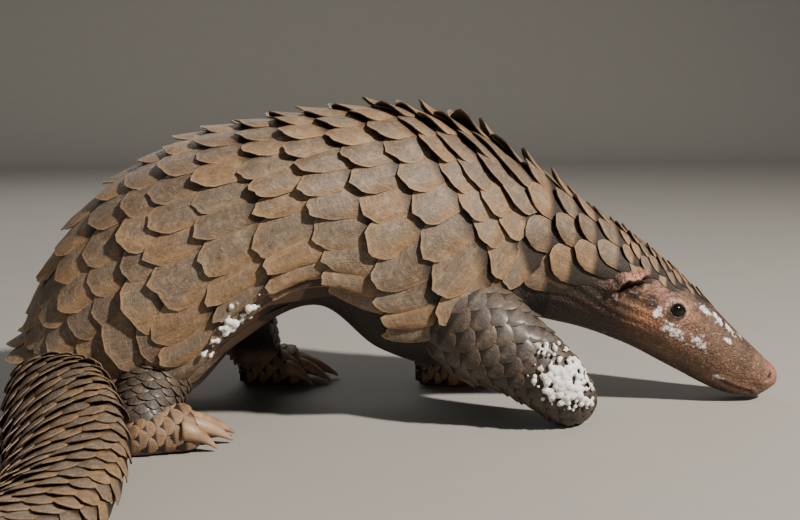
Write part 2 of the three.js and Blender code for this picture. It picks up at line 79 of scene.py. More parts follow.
# The driving sizes of the solids, in millimetres, nose towards +X and floor at 0.
# Trunk from the nose back: top x, top z, underside x, underside z, half width,
# middle y, scale height, scaled angle each side in degrees, flatness of the underside
TRUNK = np.array([
    [194.6, 17, 194.2, 7, 5.4, -9.5, 0, 0, 1],
    [189, 22, 184, 2.2, 9.5, -9, 0, 0, 0.95],
    [174, 36, 166, 4.5, 14, -7.5, 0, 0, 0.95],
    [151, 60, 141, 17, 21, -4, 1.2, 30, 0.95],
    [124, 83, 114, 31, 26.5, -1.5, 2.6, 62, 0.9],
    [92, 105, 82, 42, 30, 0, 4, 92, 0.85],
    [60, 127, 52, 45, 37, 0, 4.6, 110, 0.8],
    [28, 145, 24, 24, 48, 0, 5, 128, 0.72],
    [-8, 153, -12, 33, 52, 0, 5.4, 128, 0.7],
    [-48, 149.5, -42, 56, 54.5, 0, 5.6, 126, 0.7],
    [-90, 142, -76, 42, 56, 0, 5.6, 130, 0.7],
    [-122, 128, -99, 19, 55.5, 0, 5.4, 138, 0.62],
    [-153, 103, -114, 13, 52, 0, 5.2, 138, 0.6],
    [-172, 72, -128, 10, 47, 0, 4.8, 128, 0.6],
    [-180, 48, -144, 8, 43, -1, 4.2, 118, 0.6],
])

# Stations of the trunk, counted from the nose
BROW, CROWN, NECK = 3, 4, 6

# Centre's share of the height, roundness of the back, and by how many scale heights the
# solids' smooth body and the skin lie under the scales' outline
SPINE_SHARE = 0.48
TRUNK_DOME = 0.92
SKIN_INSET = 0.7
UNDER_SCALE = 0.35 * SKIN_INSET

# Ends of a skin tube: depth of the cap in half widths, places of its two rings
CAP_DEPTH = 0.35
CAP_RINGS = (0.35, 0.7)

# Tail: centre x, y, z, lean of its top to -X, heading from -X to -Y in degrees,
# half thickness, half width, scale height, scaled angle each side
TAIL = np.array([
    [-168, -9, 23, 0.6, 25, 19, 37, 3.8, 112],
    [-168, -31, 25, 0.64, 55, 16, 31.5, 3.8, 108],
    [-160, -63, 24, 0.66, 84, 13, 28.5, 3.8, 104],
    [-150, -97, 20.5, 0.55, 94, 12, 27.5, 3.8, 104],
    [-145, -133, 15.5, 0.3, 90, 11, 26.5, 3.6, 104],
    [-151, -169, 11.8, 0.12, 72, 10, 25.5, 3.4, 104],
    [-172, -202, 9.6, 0.02, 50, 9.2, 24, 3.2, 104],
    [-204, -226, 8.4, 0, 33, 8.4, 21.5, 3, 104],
    [-238, -241, 7.2, 0, 20, 7.2, 18, 2.6, 104],
    [-266, -249, 6, 0, 14, 6, 12, 2, 104],
    [-281, -253, 5, 0, 14, 4.5, 5, 1, 104],
])
TAIL_FLATNESS = 0.5
TAIL_PRESS = 0.8

# Limbs: centre x, y, z, half depth outwards, half length, scale height, scaled angle
STUMP = np.array([
    [20, -27, 56, 21, 23, 0, 100],
    [36, -34, 44, 21, 23, 2.6, 100],
    [55, -40, 32, 17, 18, 2.6, 110],
    [69, -42, 20.5, 14.5, 15, 2.2, 120],
    [79, -41, 11.4, 12, 12.5, 1.6, 120],
    [87, -39.5, 7.5, 7, 8, 0, 0],
])
FORELEG = np.array([
    [32, 24, 60, 16, 19, 0, 100],
    [28, 33, 44, 16, 19, 2.4, 110],
    [24, 42, 28, 13, 15, 2.2, 120],
    [24, 43, 15, 11, 12, 1.6, 110],
    [25, 43, 9, 9, 10, 0, 0],
])
HIND_RIGHT = np.array([
    [-112, -26, 50, 14, 17, 0, 100],
    [-115, -33, 36, 13.5, 16.5, 1.8, 110],
    [-120, -44, 24, 12.5, 14.5, 2.4, 120],
    [-123, -53, 14, 11, 12.5, 1.6, 110],
    [-122.5, -55.5, 8, 10, 11, 0, 0],
])
HIND_LEFT = np.array([
    [-90, 30, 60, 17, 20, 0, 100],
    [-84, 41, 42, 17, 20, 2.6, 110],
    [-75, 51, 25, 12.5, 14, 2.2, 120],
    [-72, 54, 14, 11.5, 12, 1.4, 110],
    [-71, 54, 8, 10, 11, 0, 0],
])

# Feet: heel x, y, heading from +X to +Y in degrees, length, half width, height, and the
# lengths of the claws; then the share along the foot, its rise and its width there
FEET = {
    "hind_foot_right": ([-131, -60], 22, 32, 16, 19, [10, 16, 20, 17, 11]),
    "hind_foot_left": ([-80, 54], 3, 32, 16, 19, [11, 17, 20, 16, 10]),
    "forefoot_left": ([16, 44], -8, 25, 16, 18, [9, 19, 25, 17, 9]),
}
FOOT_SHAPE = np.array([
    [0, 0.45, 0.5], [0.15, 0.8, 0.66], [0.5, 1, 0.82],
    [0.8, 1, 1], [0.97, 0.72, 0.86], [1.05, 0.3, 0.5],
])
FOOT_PLATE_HEIGHT, FOOT_PLATED_ANGLE = 2.2, 108

# Claws: width and depth in the foot in millimetres, rise, drop and taper, how they fan
# out and stand in an arc, shares of their section, and how finely they are drawn
CLAW_WIDTH = 9.5
CLAW_ROOT = 4
CLAW_RISE, CLAW_DROP, CLAW_TAPER = 0.52, 0.42, 0.82
CLAW_FAN, CLAW_ARC, CLAW_SPREAD = 0.28, 0.16, 0.84
CLAW_WIDE, CLAW_OVER, CLAW_UNDER = 0.92, 1.12, 0.75
CLAW_SIDES, CLAW_STEPS = 14, 12

# Face, as arc length back from the nose and angle down from the top of the head
EYE_RADIUS = 4.4
EYE_S, EYE_ANGLE, EYE_TILT, EYE_SINK = 71.8, 80, 12, 1.7
EAR_S, EAR_ANGLE, EAR_TILT = 101, 79, 48
NOSTRIL_S, NOSTRIL_ANGLE, NOSTRIL_TILT = 7, 80, 60
MOUTH_FRONT, MOUTH_CORNER, MOUTH_ANGLE = 7, 38, 128

# Eye's opening and its relief: stretch, lid's radius, height and width, well's radius and
# depth, then radius, depth and width of each ring fold
EYE_STRETCH = (1.14, 0.94)
LID_RADIUS, LID_HEIGHT, LID_WIDTH = 3.4, 1.7, 2.0
WELL_RADIUS, WELL_DEPTH = 3.1, 4.0
LID_FOLDS = ((5.2, 0.5, 0.5), (7.0, 0.45, 0.6), (9.4, 0.3, 0.8))

# Ear's relief: rise of its ridge, drops to slot and lobe, their heights, ridge's overhang
EAR_RISE, SLOT_DROP, LOBE_DROP = 1.6, 4.8, 8.4
RIDGE_HEIGHT, SLOT_DEPTH, LOBE_HEIGHT, RIDGE_HANG = 3.8, 3.2, 1.1, 1.9

# Scales that stand up where the back arches: middle, span, angle from the top
RAISED_S, RAISED_SPAN, RAISED_ANGLE = 178, 58, 0.5

# Skin further forward than this carries the face's folds and markings
FACE_START = 70
FEATURE_REACH = 0.015

# The face's colours set in between two x, leaning back with height, and those of the
# feet between two heights and two x
HEAD_BACK, HEAD_FRONT, HEAD_LEAN = 105, 135, 0.3
PAW_TOP, PAW_LOW, PAW_BACK, PAW_FRONT = 26, 14, -165, 60

# Bristles: thickness, first arc length and how far they run, first angle and spread
BRISTLE_RADIUS = 0.09
BRISTLE_S, BRISTLE_RUN = 14, 96
BRISTLE_ANGLE, BRISTLE_SPREAD = 92, 75

# Width of a scale whose grain is drawn at scale 1, and size of a plate on the bake's map
GRAIN_WIDTH = 24.0
BAKE_PATCH = 0.003

# Powder on the stump and on the flank's edge: tube's s, angle, spread of both, lumps
STUMP_POWDER = (60, -20, 9, 24, 230)
FLANK_POWDER = (304, -121, 11, 6, 60)
POWDER_CELL = 0.0005

# Camera: distance to its target and the target's height in millimetres, bearing and rise
# in degrees, then its lens
CAMERA_DISTANCE, TARGET_HEIGHT, BEARING, RISE = 555, 75, -7, 9
LENS, SENSOR_WIDTH = 50, 36

# Lamps, in metres and watts: place, size, power and tint
LAMPS = {
    "key_light": ((0.95, -0.7, 1.1), 0.1, 58, (1, 0.94, 0.85)),
    "fill_light": ((-1.2, -1.0, 0.7), 1.2, 3, (0.95, 0.97, 1)),
    "rim_light": ((-0.3, 1.1, 0.9), 0.9, 5, (1, 0.98, 0.95)),
}
LAMP_TARGET = (0, 0, 0.07)
FLOOR_STEPS = 48
SKY_TINT, SKY_STRENGTH = (0.93, 0.96, 1, 1), 0.13


# Curves and tubes

def unit(rows):
    """Each row divided by its own length."""
    return rows / np.linalg.norm(rows, axis=-1, keepdims=True)


def dots(first, second):
    """Row by row dot product, kept as a column."""
    return np.sum(first * second, axis=-1, keepdims=True)


def smoothstep(value, low, high):
    """3t squared less 2t cubed, where t runs from 0 at low to 1 at high."""
    t = np.clip((value - low) / (high - low), 0, 1)
    return t * t * (3 - 2 * t)


def bump(distance, width):
    """Rounded hill of height 1: e to the power of minus the squared distance in widths."""
    return np.exp(-(distance / width) ** 2)


def chance(row, column, salt=0.0):
    """Fraction left by a large multiple of a sine: the same value for the same place."""
    wave = np.sin(row * 12.9898 + column * 78.233 + salt) * 43758.5453
    return wave - np.floor(wave)


class Tube:
    """Skin tube through stations of centre, up, side, half sizes, scale height, cover."""

    def __init__(self, stations, columns, pitch, dome=1.0, least=5.0):
        self.values = stations
        centres = stations[:, :3]
        steps = np.linalg.norm(np.diff(centres, axis=0), axis=1)
        self.knots = np.concatenate([[0], np.cumsum(steps)])
        self.length = self.knots[-1]
        before = np.maximum(np.arange(len(stations)) - 1, 0)
        after = np.minimum(np.arange(len(stations)) + 1, len(stations) - 1)
        run = (self.knots[after] - self.knots[before])[:, None]
        self.slopes = (stations[after] - stations[before]) / run
        self.columns = columns
        self.dome = dome
        rows = [0.0]
        while rows[-1] < self.length:
            rows.append(rows[-1] + max(least, pitch * self.girth(rows[-1]) / columns))
        self.rows = np.array(rows)

    def frame(self, s):
        """Cubic between knots whose slope is the neighbours' difference over their run."""
        s = np.clip(np.asarray(s, float), 0, self.length)
        i = np.clip(np.searchsorted(self.knots[1:], s), 0, len(self.knots) - 2)
        span = self.knots[i + 1] - self.knots[i]
        t = ((s - self.knots[i]) / span)[..., None]
        span = span[..., None]
        row = (self.values[i] * (2 * t ** 3 - 3 * t ** 2 + 1)
               + self.values[i + 1] * (3 * t ** 2 - 2 * t ** 3)
               + self.slopes[i] * span * (t ** 3 - 2 * t ** 2 + t)
               + self.slopes[i + 1] * span * (t ** 3 - t ** 2))
        up = unit(row[..., 3:6])
        side = row[..., 6:9]
        side = unit(side - up * dots(up, side))
        return row[..., :3], up, side, np.cross(up, side), row[..., 9:]

    def girth(self, s):
        """Round of the tube at one arc length."""
        return float(self.girth_at(np.array([s]))[0])

    def girth_at(self, s):
        """Rounds at several arc lengths, from the root mean square of the half sizes."""
        sizes = self.frame(s)[4]
        mean = np.hypot((sizes[:, 0] + sizes[:, 1]) / 2, sizes[:, 2]) / math.sqrt(2)
        return 2 * math.pi * mean

    def point(self, s, angle):
        """Centre plus up times a power of the cosine and side times one of the sine."""
        s, angle = np.broadcast_arrays(np.asarray(s, float), angle)
        centre, up, side, back, sizes = self.frame(s)
        over, under, half, flat = sizes[..., 0], sizes[..., 1], sizes[..., 2], sizes[..., 5]
        rise, reach = np.cos(angle), np.sin(angle)
        power = np.where(rise > 0, self.dome, flat)
        high = np.sign(rise) * np.abs(rise) ** power * np.where(rise > 0, over, under)
        wide = np.sign(reach) * np.abs(reach) ** power * half
        beyond = s - np.clip(s, 0, self.length)
        return centre + up * high[..., None] + side * wide[..., None] + back * beyond[..., None]

    def normal(self, s, angle):
        """Cross product of the steps around and along the skin, pointing outwards."""
        along = self.point(s + 0.6, angle) - self.point(s - 0.6, angle)
        around = self.point(s, angle + 0.03) - self.point(s, angle - 0.03)
        return unit(np.cross(around, along))

    def plate(self, s, angle):
        """Scale height there, which fades to nothing past the scaled angle."""
        sizes = self.frame(s)[4]
        turned = np.abs(np.mod(angle + math.pi, 2 * math.pi) - math.pi)
        return sizes[..., 3] * smoothstep(np.radians(sizes[..., 4]) - turned, -0.02, 0.3)

    def place_of(self, points):
        """Arc length of the nearest centre, and the angle in degrees down from the top."""
        s = np.linspace(0, self.length, 300)
        centres = self.frame(s)[0]
        nearest = np.argmin(((points[:, None] - centres[None]) ** 2).sum(axis=-1), axis=1)
        centre, up, side, _, sizes = self.frame(s[nearest])
        high = np.sum((points - centre) * up, axis=1)
        wide = np.sum((points - centre) * side, axis=1) / sizes[:, 2]
        high = high / np.where(high > 0, sizes[:, 0], sizes[:, 1])
        power = np.where(high > 0, self.dome, sizes[:, 5])
        rise = np.sign(high) * np.abs(high) ** (1 / power)
        return s[nearest], np.degrees(np.arctan2(np.abs(wide) ** (1 / power), rise))

    def skin(self, steps, columns):
        """Grid of skin points, both ends drawn together into a rounded cap."""
        s = np.linspace(0, self.length, steps)
        angle = np.linspace(0, 2 * math.pi, columns, endpoint=False)
        rings = self.point(s[:, None], angle[None, :])
        inset = UNDER_SCALE * self.plate(s[:, None], angle[None, :])[..., None]
        rings = rings - inset * self.normal(s[:, None], angle[None, :])
        ends = []
        for at, way in ((0, -1), (-1, 1)):
            centre, _, _, back, sizes = self.frame(s[at])
            ends.append(centre + way * CAP_DEPTH * sizes[2] * back)
        shrunk = [1 - (1 - k) ** 2 for k in CAP_RINGS]
        first = [ends[0] + (rings[0] - ends[0]) * k for k in shrunk]
        last = [ends[1] + (rings[-1] - ends[1]) * k for k in shrunk[::-1]]
        return np.array([*first, *rings, *last]), ends


def trunk_stations():
    """Spine centre at a share of the height, the skin lying inside the scales' outline."""
    top_x, top_z, low_x, low_z, half, middle, plate, cover, flat = TRUNK.T
    top = np.stack([top_x, middle, top_z], axis=1)
    low = np.stack([low_x, middle, low_z], axis=1)
    height = np.linalg.norm(top - low, axis=1)
    side = np.stack([middle / 100, np.ones_like(middle), np.zeros_like(middle)], axis=1)
    return np.column_stack([
        low + (top - low) * SPINE_SHARE, unit(top - low), side,
        (1 - SPINE_SHARE) * height - SKIN_INSET * plate, SPINE_SHARE * height,
        half - SKIN_INSET * plate, plate, cover, flat,
    ])


def tail_stations():
    """Leaning stations along the tail, its side square to its heading on the floor."""
    x, y, z, lean, heading, thick, half, plate, cover = TAIL.T
    turn = np.radians(heading)
    none = np.zeros_like(x)
    return np.column_stack([
        x, y, z - TAIL_PRESS, -lean, none, np.sqrt(1 - lean ** 2),
        -np.sin(turn), np.cos(turn), none, thick - SKIN_INSET * plate, thick,
        half - SKIN_INSET * plate, plate, cover, none + TAIL_FLATNESS,
    ])


def limb_stations(rows, hand):
    """Limb stations, their top turned outwards and square to the limb's path."""
    centres = rows[:, :3]
    after = np.minimum(np.arange(len(rows)) + 1, len(rows) - 1)
    before = np.maximum(np.arange(len(rows)) - 1, 0)
    along = unit(centres[after] - centres[before])
    up = unit(np.array([0, hand, 0]) - hand * along[:, 1:2] * along)
    depth, half, plate, cover = rows[:, 3:7].T
    return np.column_stack([
        centres, up, np.cross(along, up), depth, depth, half, plate, cover, np.ones_like(depth),
    ])


def foot_stations(name):
    """Stations of a low pad from toe to heel, half sizes by the shares of its shape."""
    heel, heading, length, half, height, _ = FEET[name]
    turn = math.radians(heading)
    along = np.array([math.cos(turn), math.sin(turn), 0])
    side = np.array([-math.sin(turn), math.cos(turn), 0])
    share, rise, width = FOOT_SHAPE[::-1].T
    centres = np.array([*heel, height * 0.42]) + along * (share * length)[:, None]
    ones = np.ones((len(share), 1))
    return np.column_stack([
        centres, ones * [0, 0, 1], ones * side, height * 0.58 * rise, ones * height * 0.46,
        half * width, ones * 0, ones * 0, ones * 0.6,
    ])


def foot_plates_tube(name):
    """The foot's pad from heel to toe, with a plate height and the angle that is plated."""
    stations = foot_stations(name)[::-1].copy()
    stations[:, 6:9] *= -1
    stations[:, 12:14] = [FOOT_PLATE_HEIGHT, FOOT_PLATED_ANGLE]
    return Tube(stations, 9, 0.5, 1.0, 3.4)


trunk = Tube(trunk_stations(), 14, 0.5, TRUNK_DOME)
tail = Tube(np.vstack([trunk.values[-3:], tail_stations()]), 12, 0.62)
TAIL_START = tail.knots[2]
LIMBS = {
    "foreleg_right": (STUMP, -1),
    "foreleg_left": (FORELEG, 1),
    "hind_leg_right": (HIND_RIGHT, -1),
    "hind_leg_left": (HIND_LEFT, 1),
}


def eye_centre(hand):
    """Middle of the eyeball, a little under the skin."""
    angle = hand * math.radians(EYE_ANGLE)
    return trunk.point(EYE_S, angle) - EYE_SINK * trunk.normal(EYE_S, angle)


low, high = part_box("eye_right")
SHIFT = np.array((low + high) / 2) - eye_centre(-1) / 1000


def place(points):
    """Millimetres of the driving sizes turned into metres of the model's own frame."""
    return points / 1000 + SHIFT


# Meshes

def smooth_shaded(mesh):
    """Every face of the mesh shaded smooth."""
    mesh.polygons.foreach_set("use_smooth", np.ones(len(mesh.polygons), bool))


def add_mesh(name, points, faces, slot):
    """Object of that name at the origin from points in millimetres and its faces."""
    mesh = bpy.data.meshes.new(name)
    raised = place(points)
    raised[:, 2] = np.maximum(raised[:, 2], 0)
    mesh.from_pydata(raised.tolist(), [], faces)
    smooth_shaded(mesh)
    mesh.update()
    piece = bpy.data.objects.new(name, mesh)
    bpy.context.scene.collection.objects.link(piece)
    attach(piece, BODY)
    return piece


def tube_faces(rings, count):
    """Quads between rings of one count, and triangles to a pole point at each end."""
    ring = np.arange(rings - 1)[:, None] * count
    k = np.arange(count)[None, :]
    after = (k + 1) % count
    quads = np.stack([ring + k, ring + after, ring + count + after, ring + count + k], axis=-1)
    first, last = rings * count, rings * count + 1
    k = np.arange(count)
    after = (k + 1) % count
    low = np.stack([after, k, np.full(count, first)], axis=-1)
    base = (rings - 1) * count
    top = np.stack([base + k, base + after, np.full(count, last)], axis=-1)
    return quads.reshape(-1, 4).tolist() + low.tolist() + top.tolist()


def ball(sides, rings):
    """Points of a sphere of radius 1 and two poles, and its faces turned outwards."""
    u = np.linspace(0, 2 * math.pi, sides, endpoint=False)
    v = np.linspace(0, math.pi, rings)[1:-1, None]
    points = np.stack([np.sin(v) * np.cos(u), np.sin(v) * np.sin(u), np.cos(v) + 0 * u], axis=-1)
    points = np.vstack([points.reshape(-1, 3), [[0, 0, 1], [0, 0, -1]]])
    return points, [face[::-1] for face in tube_faces(len(v), sides)]


def closed_tube(tube, steps, columns):
    """Points and faces of a tube's skin, closed at both ends."""
    rings, ends = tube.skin(steps, columns)
    points = np.vstack([rings.reshape(-1, 3), ends])
    return points, tube_faces(len(rings), columns)


def joined(parts):
    """One list of points and faces from several."""
    points, faces, count = [], [], 0
    for part, polygons in parts:
        points.append(part)
        faces.extend([[k + count for k in face] for face in polygons])
        count += len(part)
    return np.vstack(points), faces


def vertices_of(mesh):
    """Places of a mesh's vertices, in metres."""
    points = np.empty(len(mesh.vertices) * 3)
    mesh.vertices.foreach_get("co", points)
    return points.reshape(-1, 3)


def set_vertices(mesh, points):
    """Moves a mesh's vertices to these places."""
    mesh.vertices.foreach_set("co", points.ravel())
    mesh.update()


def vertex_normals(mesh):
    """Outward direction at each vertex of a mesh."""
    normals = np.empty(len(mesh.vertices) * 3)
    mesh.vertex_normals.foreach_get("vector", normals)
    return normals.reshape(-1, 3)


def remeshed(context, piece, cell, rounds):
    """The piece's mesh made one closed skin of even cells, smoothed, modifiers worked in."""
    remesh = piece.modifiers.new("Remesh", "REMESH")
    remesh.mode = "VOXEL"
    remesh.voxel_size = cell
    smooth = piece.modifiers.new("Smooth", "SMOOTH")
    smooth.factor = 0.5
    smooth.iterations = rounds
    mesh = bpy.data.meshes.new_from_object(
        piece.evaluated_get(context.evaluated_depsgraph_get()))
    piece.modifiers.clear()
    piece.data = mesh
    return mesh


def add_attribute(mesh, name, values):
    """One number for each vertex, for the materials to read."""
    layer = mesh.attributes.new(name, "FLOAT", "POINT")
    layer.data.foreach_set("value", np.asarray(values, np.float32))


def add_map(mesh, name, places):
    """UV map with one place for each vertex."""
    layer = mesh.uv_layers.new(name=name)
    corners = np.empty(len(mesh.loops), int)
    mesh.loops.foreach_get("vertex_index", corners)
    layer.data.foreach_set("uv", places[corners].astype(np.float32).ravel())


# Materials

class Value:
    """One output of a material's nodes. Python's operators add Math nodes to it."""

    def __init__(self, finish, socket):
        self.finish = finish
        self.socket = socket

    def _math(self, operation, first, second):
        return self.finish.add("ShaderNodeMath", {"operation": operation}, {0: first, 1: second})

    def __add__(self, other):
        return self._math("ADD", self, other)

    def __sub__(self, other):
        return self._math("SUBTRACT", self, other)

    def __rsub__(self, other):
        return self._math("SUBTRACT", other, self)

    def __mul__(self, other):
        return self._math("MULTIPLY", self, other)

    __radd__ = __add__
    __rmul__ = __mul__

    def between(self, low, high):
        """Smooth rise from 0 at low to 1 at high."""
        settings = {"interpolation_type": "SMOOTHSTEP"}
        values = {"Value": self, "From Min": low, "From Max": high}
        return self.finish.add("ShaderNodeMapRange", settings, values)


class Finish:
    """A material with one Principled shader, whose sockets take numbers, colours, links."""

    def __init__(self, name, **constants):
        self.material = bpy.data.materials.new(name)
        self.material.use_nodes = True
        self.tree = self.material.node_tree
        self.shader = self.tree.nodes["Principled BSDF"]
        for socket, value in constants.items():
            self.shader.inputs[socket.replace("_", " ")].default_value = value

    def add(self, kind, settings=None, values=None, output=0):
        """Any node: its settings first, then the values or links of its sockets."""
        node = self.tree.nodes.new(kind)
        for key, value in (settings or {}).items():
            setattr(node, key, value)
        for key, value in (values or {}).items():
            self.feed(node.inputs[key], value)
        return Value(self, node.outputs[output])

    def feed(self, socket, value):
        """Gives a socket a number or colour of its own, or another node's output."""
        if isinstance(value, Value):
            self.tree.links.new(value.socket, socket)
        else:
            socket.default_value = value

    def noise(self, place, scale, detail=3, rough=0.5, stretch=None, turn=(0, 0, 0)):
        """Noise on a place, which may be stretched and turned first."""
        if stretch or any(turn):
            values = {"Vector": place, "Scale": stretch or (1, 1, 1), "Rotation": turn}
            place = self.add("ShaderNodeMapping", {}, values)
        values = {"Vector": place, "Scale": scale, "Detail": detail, "Roughness": rough}
        return self.add("ShaderNodeTexNoise", {}, values)

    def attribute(self, name):
        """One of the mesh's own numbers."""
        return self.add("ShaderNodeAttribute", {"attribute_name": name}, {}, "Fac")

    def objects(self):
        """Places in the object's own frame, in metres."""
        return self.add("ShaderNodeTexCoord", {}, {}, "Object")

    def mapped(self, name):
        """Places on one of the mesh's maps."""
        return self.add("ShaderNodeUVMap", {"uv_map": name})

    def mix(self, share, first, second):
        """Colour mixed from two by a share."""
        settings = {"data_type": "RGBA", "clamp_factor": True}
        return self.add("ShaderNodeMix", settings, {0: share, 6: first, 7: second}, 2)

    def finish(self, colour, roughness, height=None, strength=0.5, distance=0.0004):
        """Feeds the shader its colour, roughness and relief, and returns the material."""
        self.feed(self.shader.inputs["Base Color"], colour)
        self.feed(self.shader.inputs["Roughness"], roughness)
        if height is not None:
            values = {"Strength": strength, "Distance": distance, "Height": height}
            self.feed(self.shader.inputs["Normal"], self.add("ShaderNodeBump", {}, values))
        return self.material


# Grain of the horn on a plate's own map: fan lines, fine lines, growth rings and two
# sets of scratches, each with its stretch, detail, roughness and turn
GRAIN = (
    ((40, 3.5, 1), 3, 0.65, 0), ((80, 9, 1), 2, 0.6, 0), ((3, 48, 1), 3, 0.6, 0),
    ((8, 80, 1), 2, 0.5, 0.75), ((7, 70, 1), 2, 0.5, -0.55),
)

# Stains over the whole animal, large to small: scale, detail, roughness
STAINS = ((85, 4, 0.6), (190, 3, 0.6), (330, 4, 0.7), (1300, 2, 0.6))


def horn_finish(name, ochre, grey, tones, gloss=0.0, lines=1.0):
    """Worn horn: grey cores, ochre margins, fan and ring lines, scratches, stained pits, pale rims
    partly painted highlight, painted shade at roots and undersides.
    """
    look = Finish(name, Coat_Weight=gloss, Coat_Roughness=0.3, Specular_IOR_Level=0.42)
    local = look.mapped("Grain")
    keys = ("own", "along", "rim", "core", "under")
    own, along, rim, core, under = (look.attribute(key) for key in keys)
    objects = look.objects()
    fan, fine, rings, scratch, second = (
        look.noise(local, 1.0, detail, rough, stretch, (0, 0, turn))
        for stretch, detail, rough, turn in GRAIN)
    patch, coarse, grime, speck = (look.noise(objects, *stain) for stain in STAINS)
    greyed = (core * 1.3 + (patch - 0.5) * 2.2 + (own - 0.5) * 0.9).between(0.2, 1.05)
    shade = look.mix(greyed, ochre, grey)
    shade = look.mix(coarse.between(0.52, 0.68) * (0.35 * lines), shade, tones.worn)
    shade = look.mix((1 - patch.between(0.32, 0.52)) * 0.5, shade, tones.dark_horn)
    shade = look.mix((own - 0.55) * 0.55, shade, tones.dark_horn)
    pale = fan.between(0.54, 0.72) * 0.34 + rings.between(0.55, 0.7) * 0.2
    pale = pale + scratch.between(0.6, 0.7) * 0.24 + second.between(0.6, 0.7) * 0.18
    pale = pale + grime.between(0.55, 0.7) * 0.3
    shade = look.mix(pale * lines, shade, tones.worn)
    stained = (1 - fine.between(0.3, 0.47)) * 0.5 + (1 - grime.between(0.3, 0.46)) * 0.6
    shade = look.mix(stained, shade, tones.dark_horn)
    shade = look.mix(speck.between(0.58, 0.7) * (0.35 * lines), shade, tones.worn)
    # Pale rim round every plate: worn horn, and a painted highlight where light catches the edges
    shade = look.mix(rim.between(0.6, 1.0) * (0.35 * lines), shade, tones.worn)
    # Painted shade on each plate's root, where the plates ahead cover it
    shade = look.mix((1 - along.between(0.44, 0.62)) * 0.95, shade, tones.painted_shade)
    # Painted shade on the undersides and edge walls of the plates
    shade = look.mix(under, shade, tones.underside)
    rough = 0.5 + patch * 0.25 - greyed * 0.08
    height = fan * 0.4 + rings * 0.3 + fine * 0.3 + scratch * 0.25 + grime * 0.7 + speck * 0.2
    return look.finish(shade, rough, height, 0.8, 0.0006)


# Scales

def scale_patch(across, along):
    """Quads and triangles of one plate: a domed grid, a wall round it, a fan beneath."""
    count = (across + 1) * (along + 1)
    i = np.arange(across)[None, :]
    j = np.arange(along)[:, None]
    corner = (j * (across + 1) + i).ravel()
    top = np.stack([corner, corner + 1, corner + across + 2, corner + across + 1], axis=-1)
    edge = edge_of(across, along)
    ring = count + np.arange(len(edge))
    wall = np.stack([ring, np.roll(ring, -1), np.roll(edge, -1), edge], axis=-1)
    hub = np.full(len(edge), count + len(edge))
    return np.vstack([top, wall]), np.stack([np.roll(ring, -1), ring, hub], axis=-1)


def edge_of(across, along):
    """Grid points round the edge of a plate, in order."""
    last = along * (across + 1)
    return np.concatenate([
        np.arange(across), np.arange(along) * (across + 1) + across,
        last + np.arange(across, 0, -1), np.arange(along, 0, -1) * (across + 1),
    ])


# Seed of each thing that differs from scale to scale
SALTS = {
    "lift": 0, "yaw": 3, "skew": 5, "reach": 7, "width": 9, "twist": 11, "corner": 13,
    "setback": 17, "ripple": 19, "curl": 23,
}


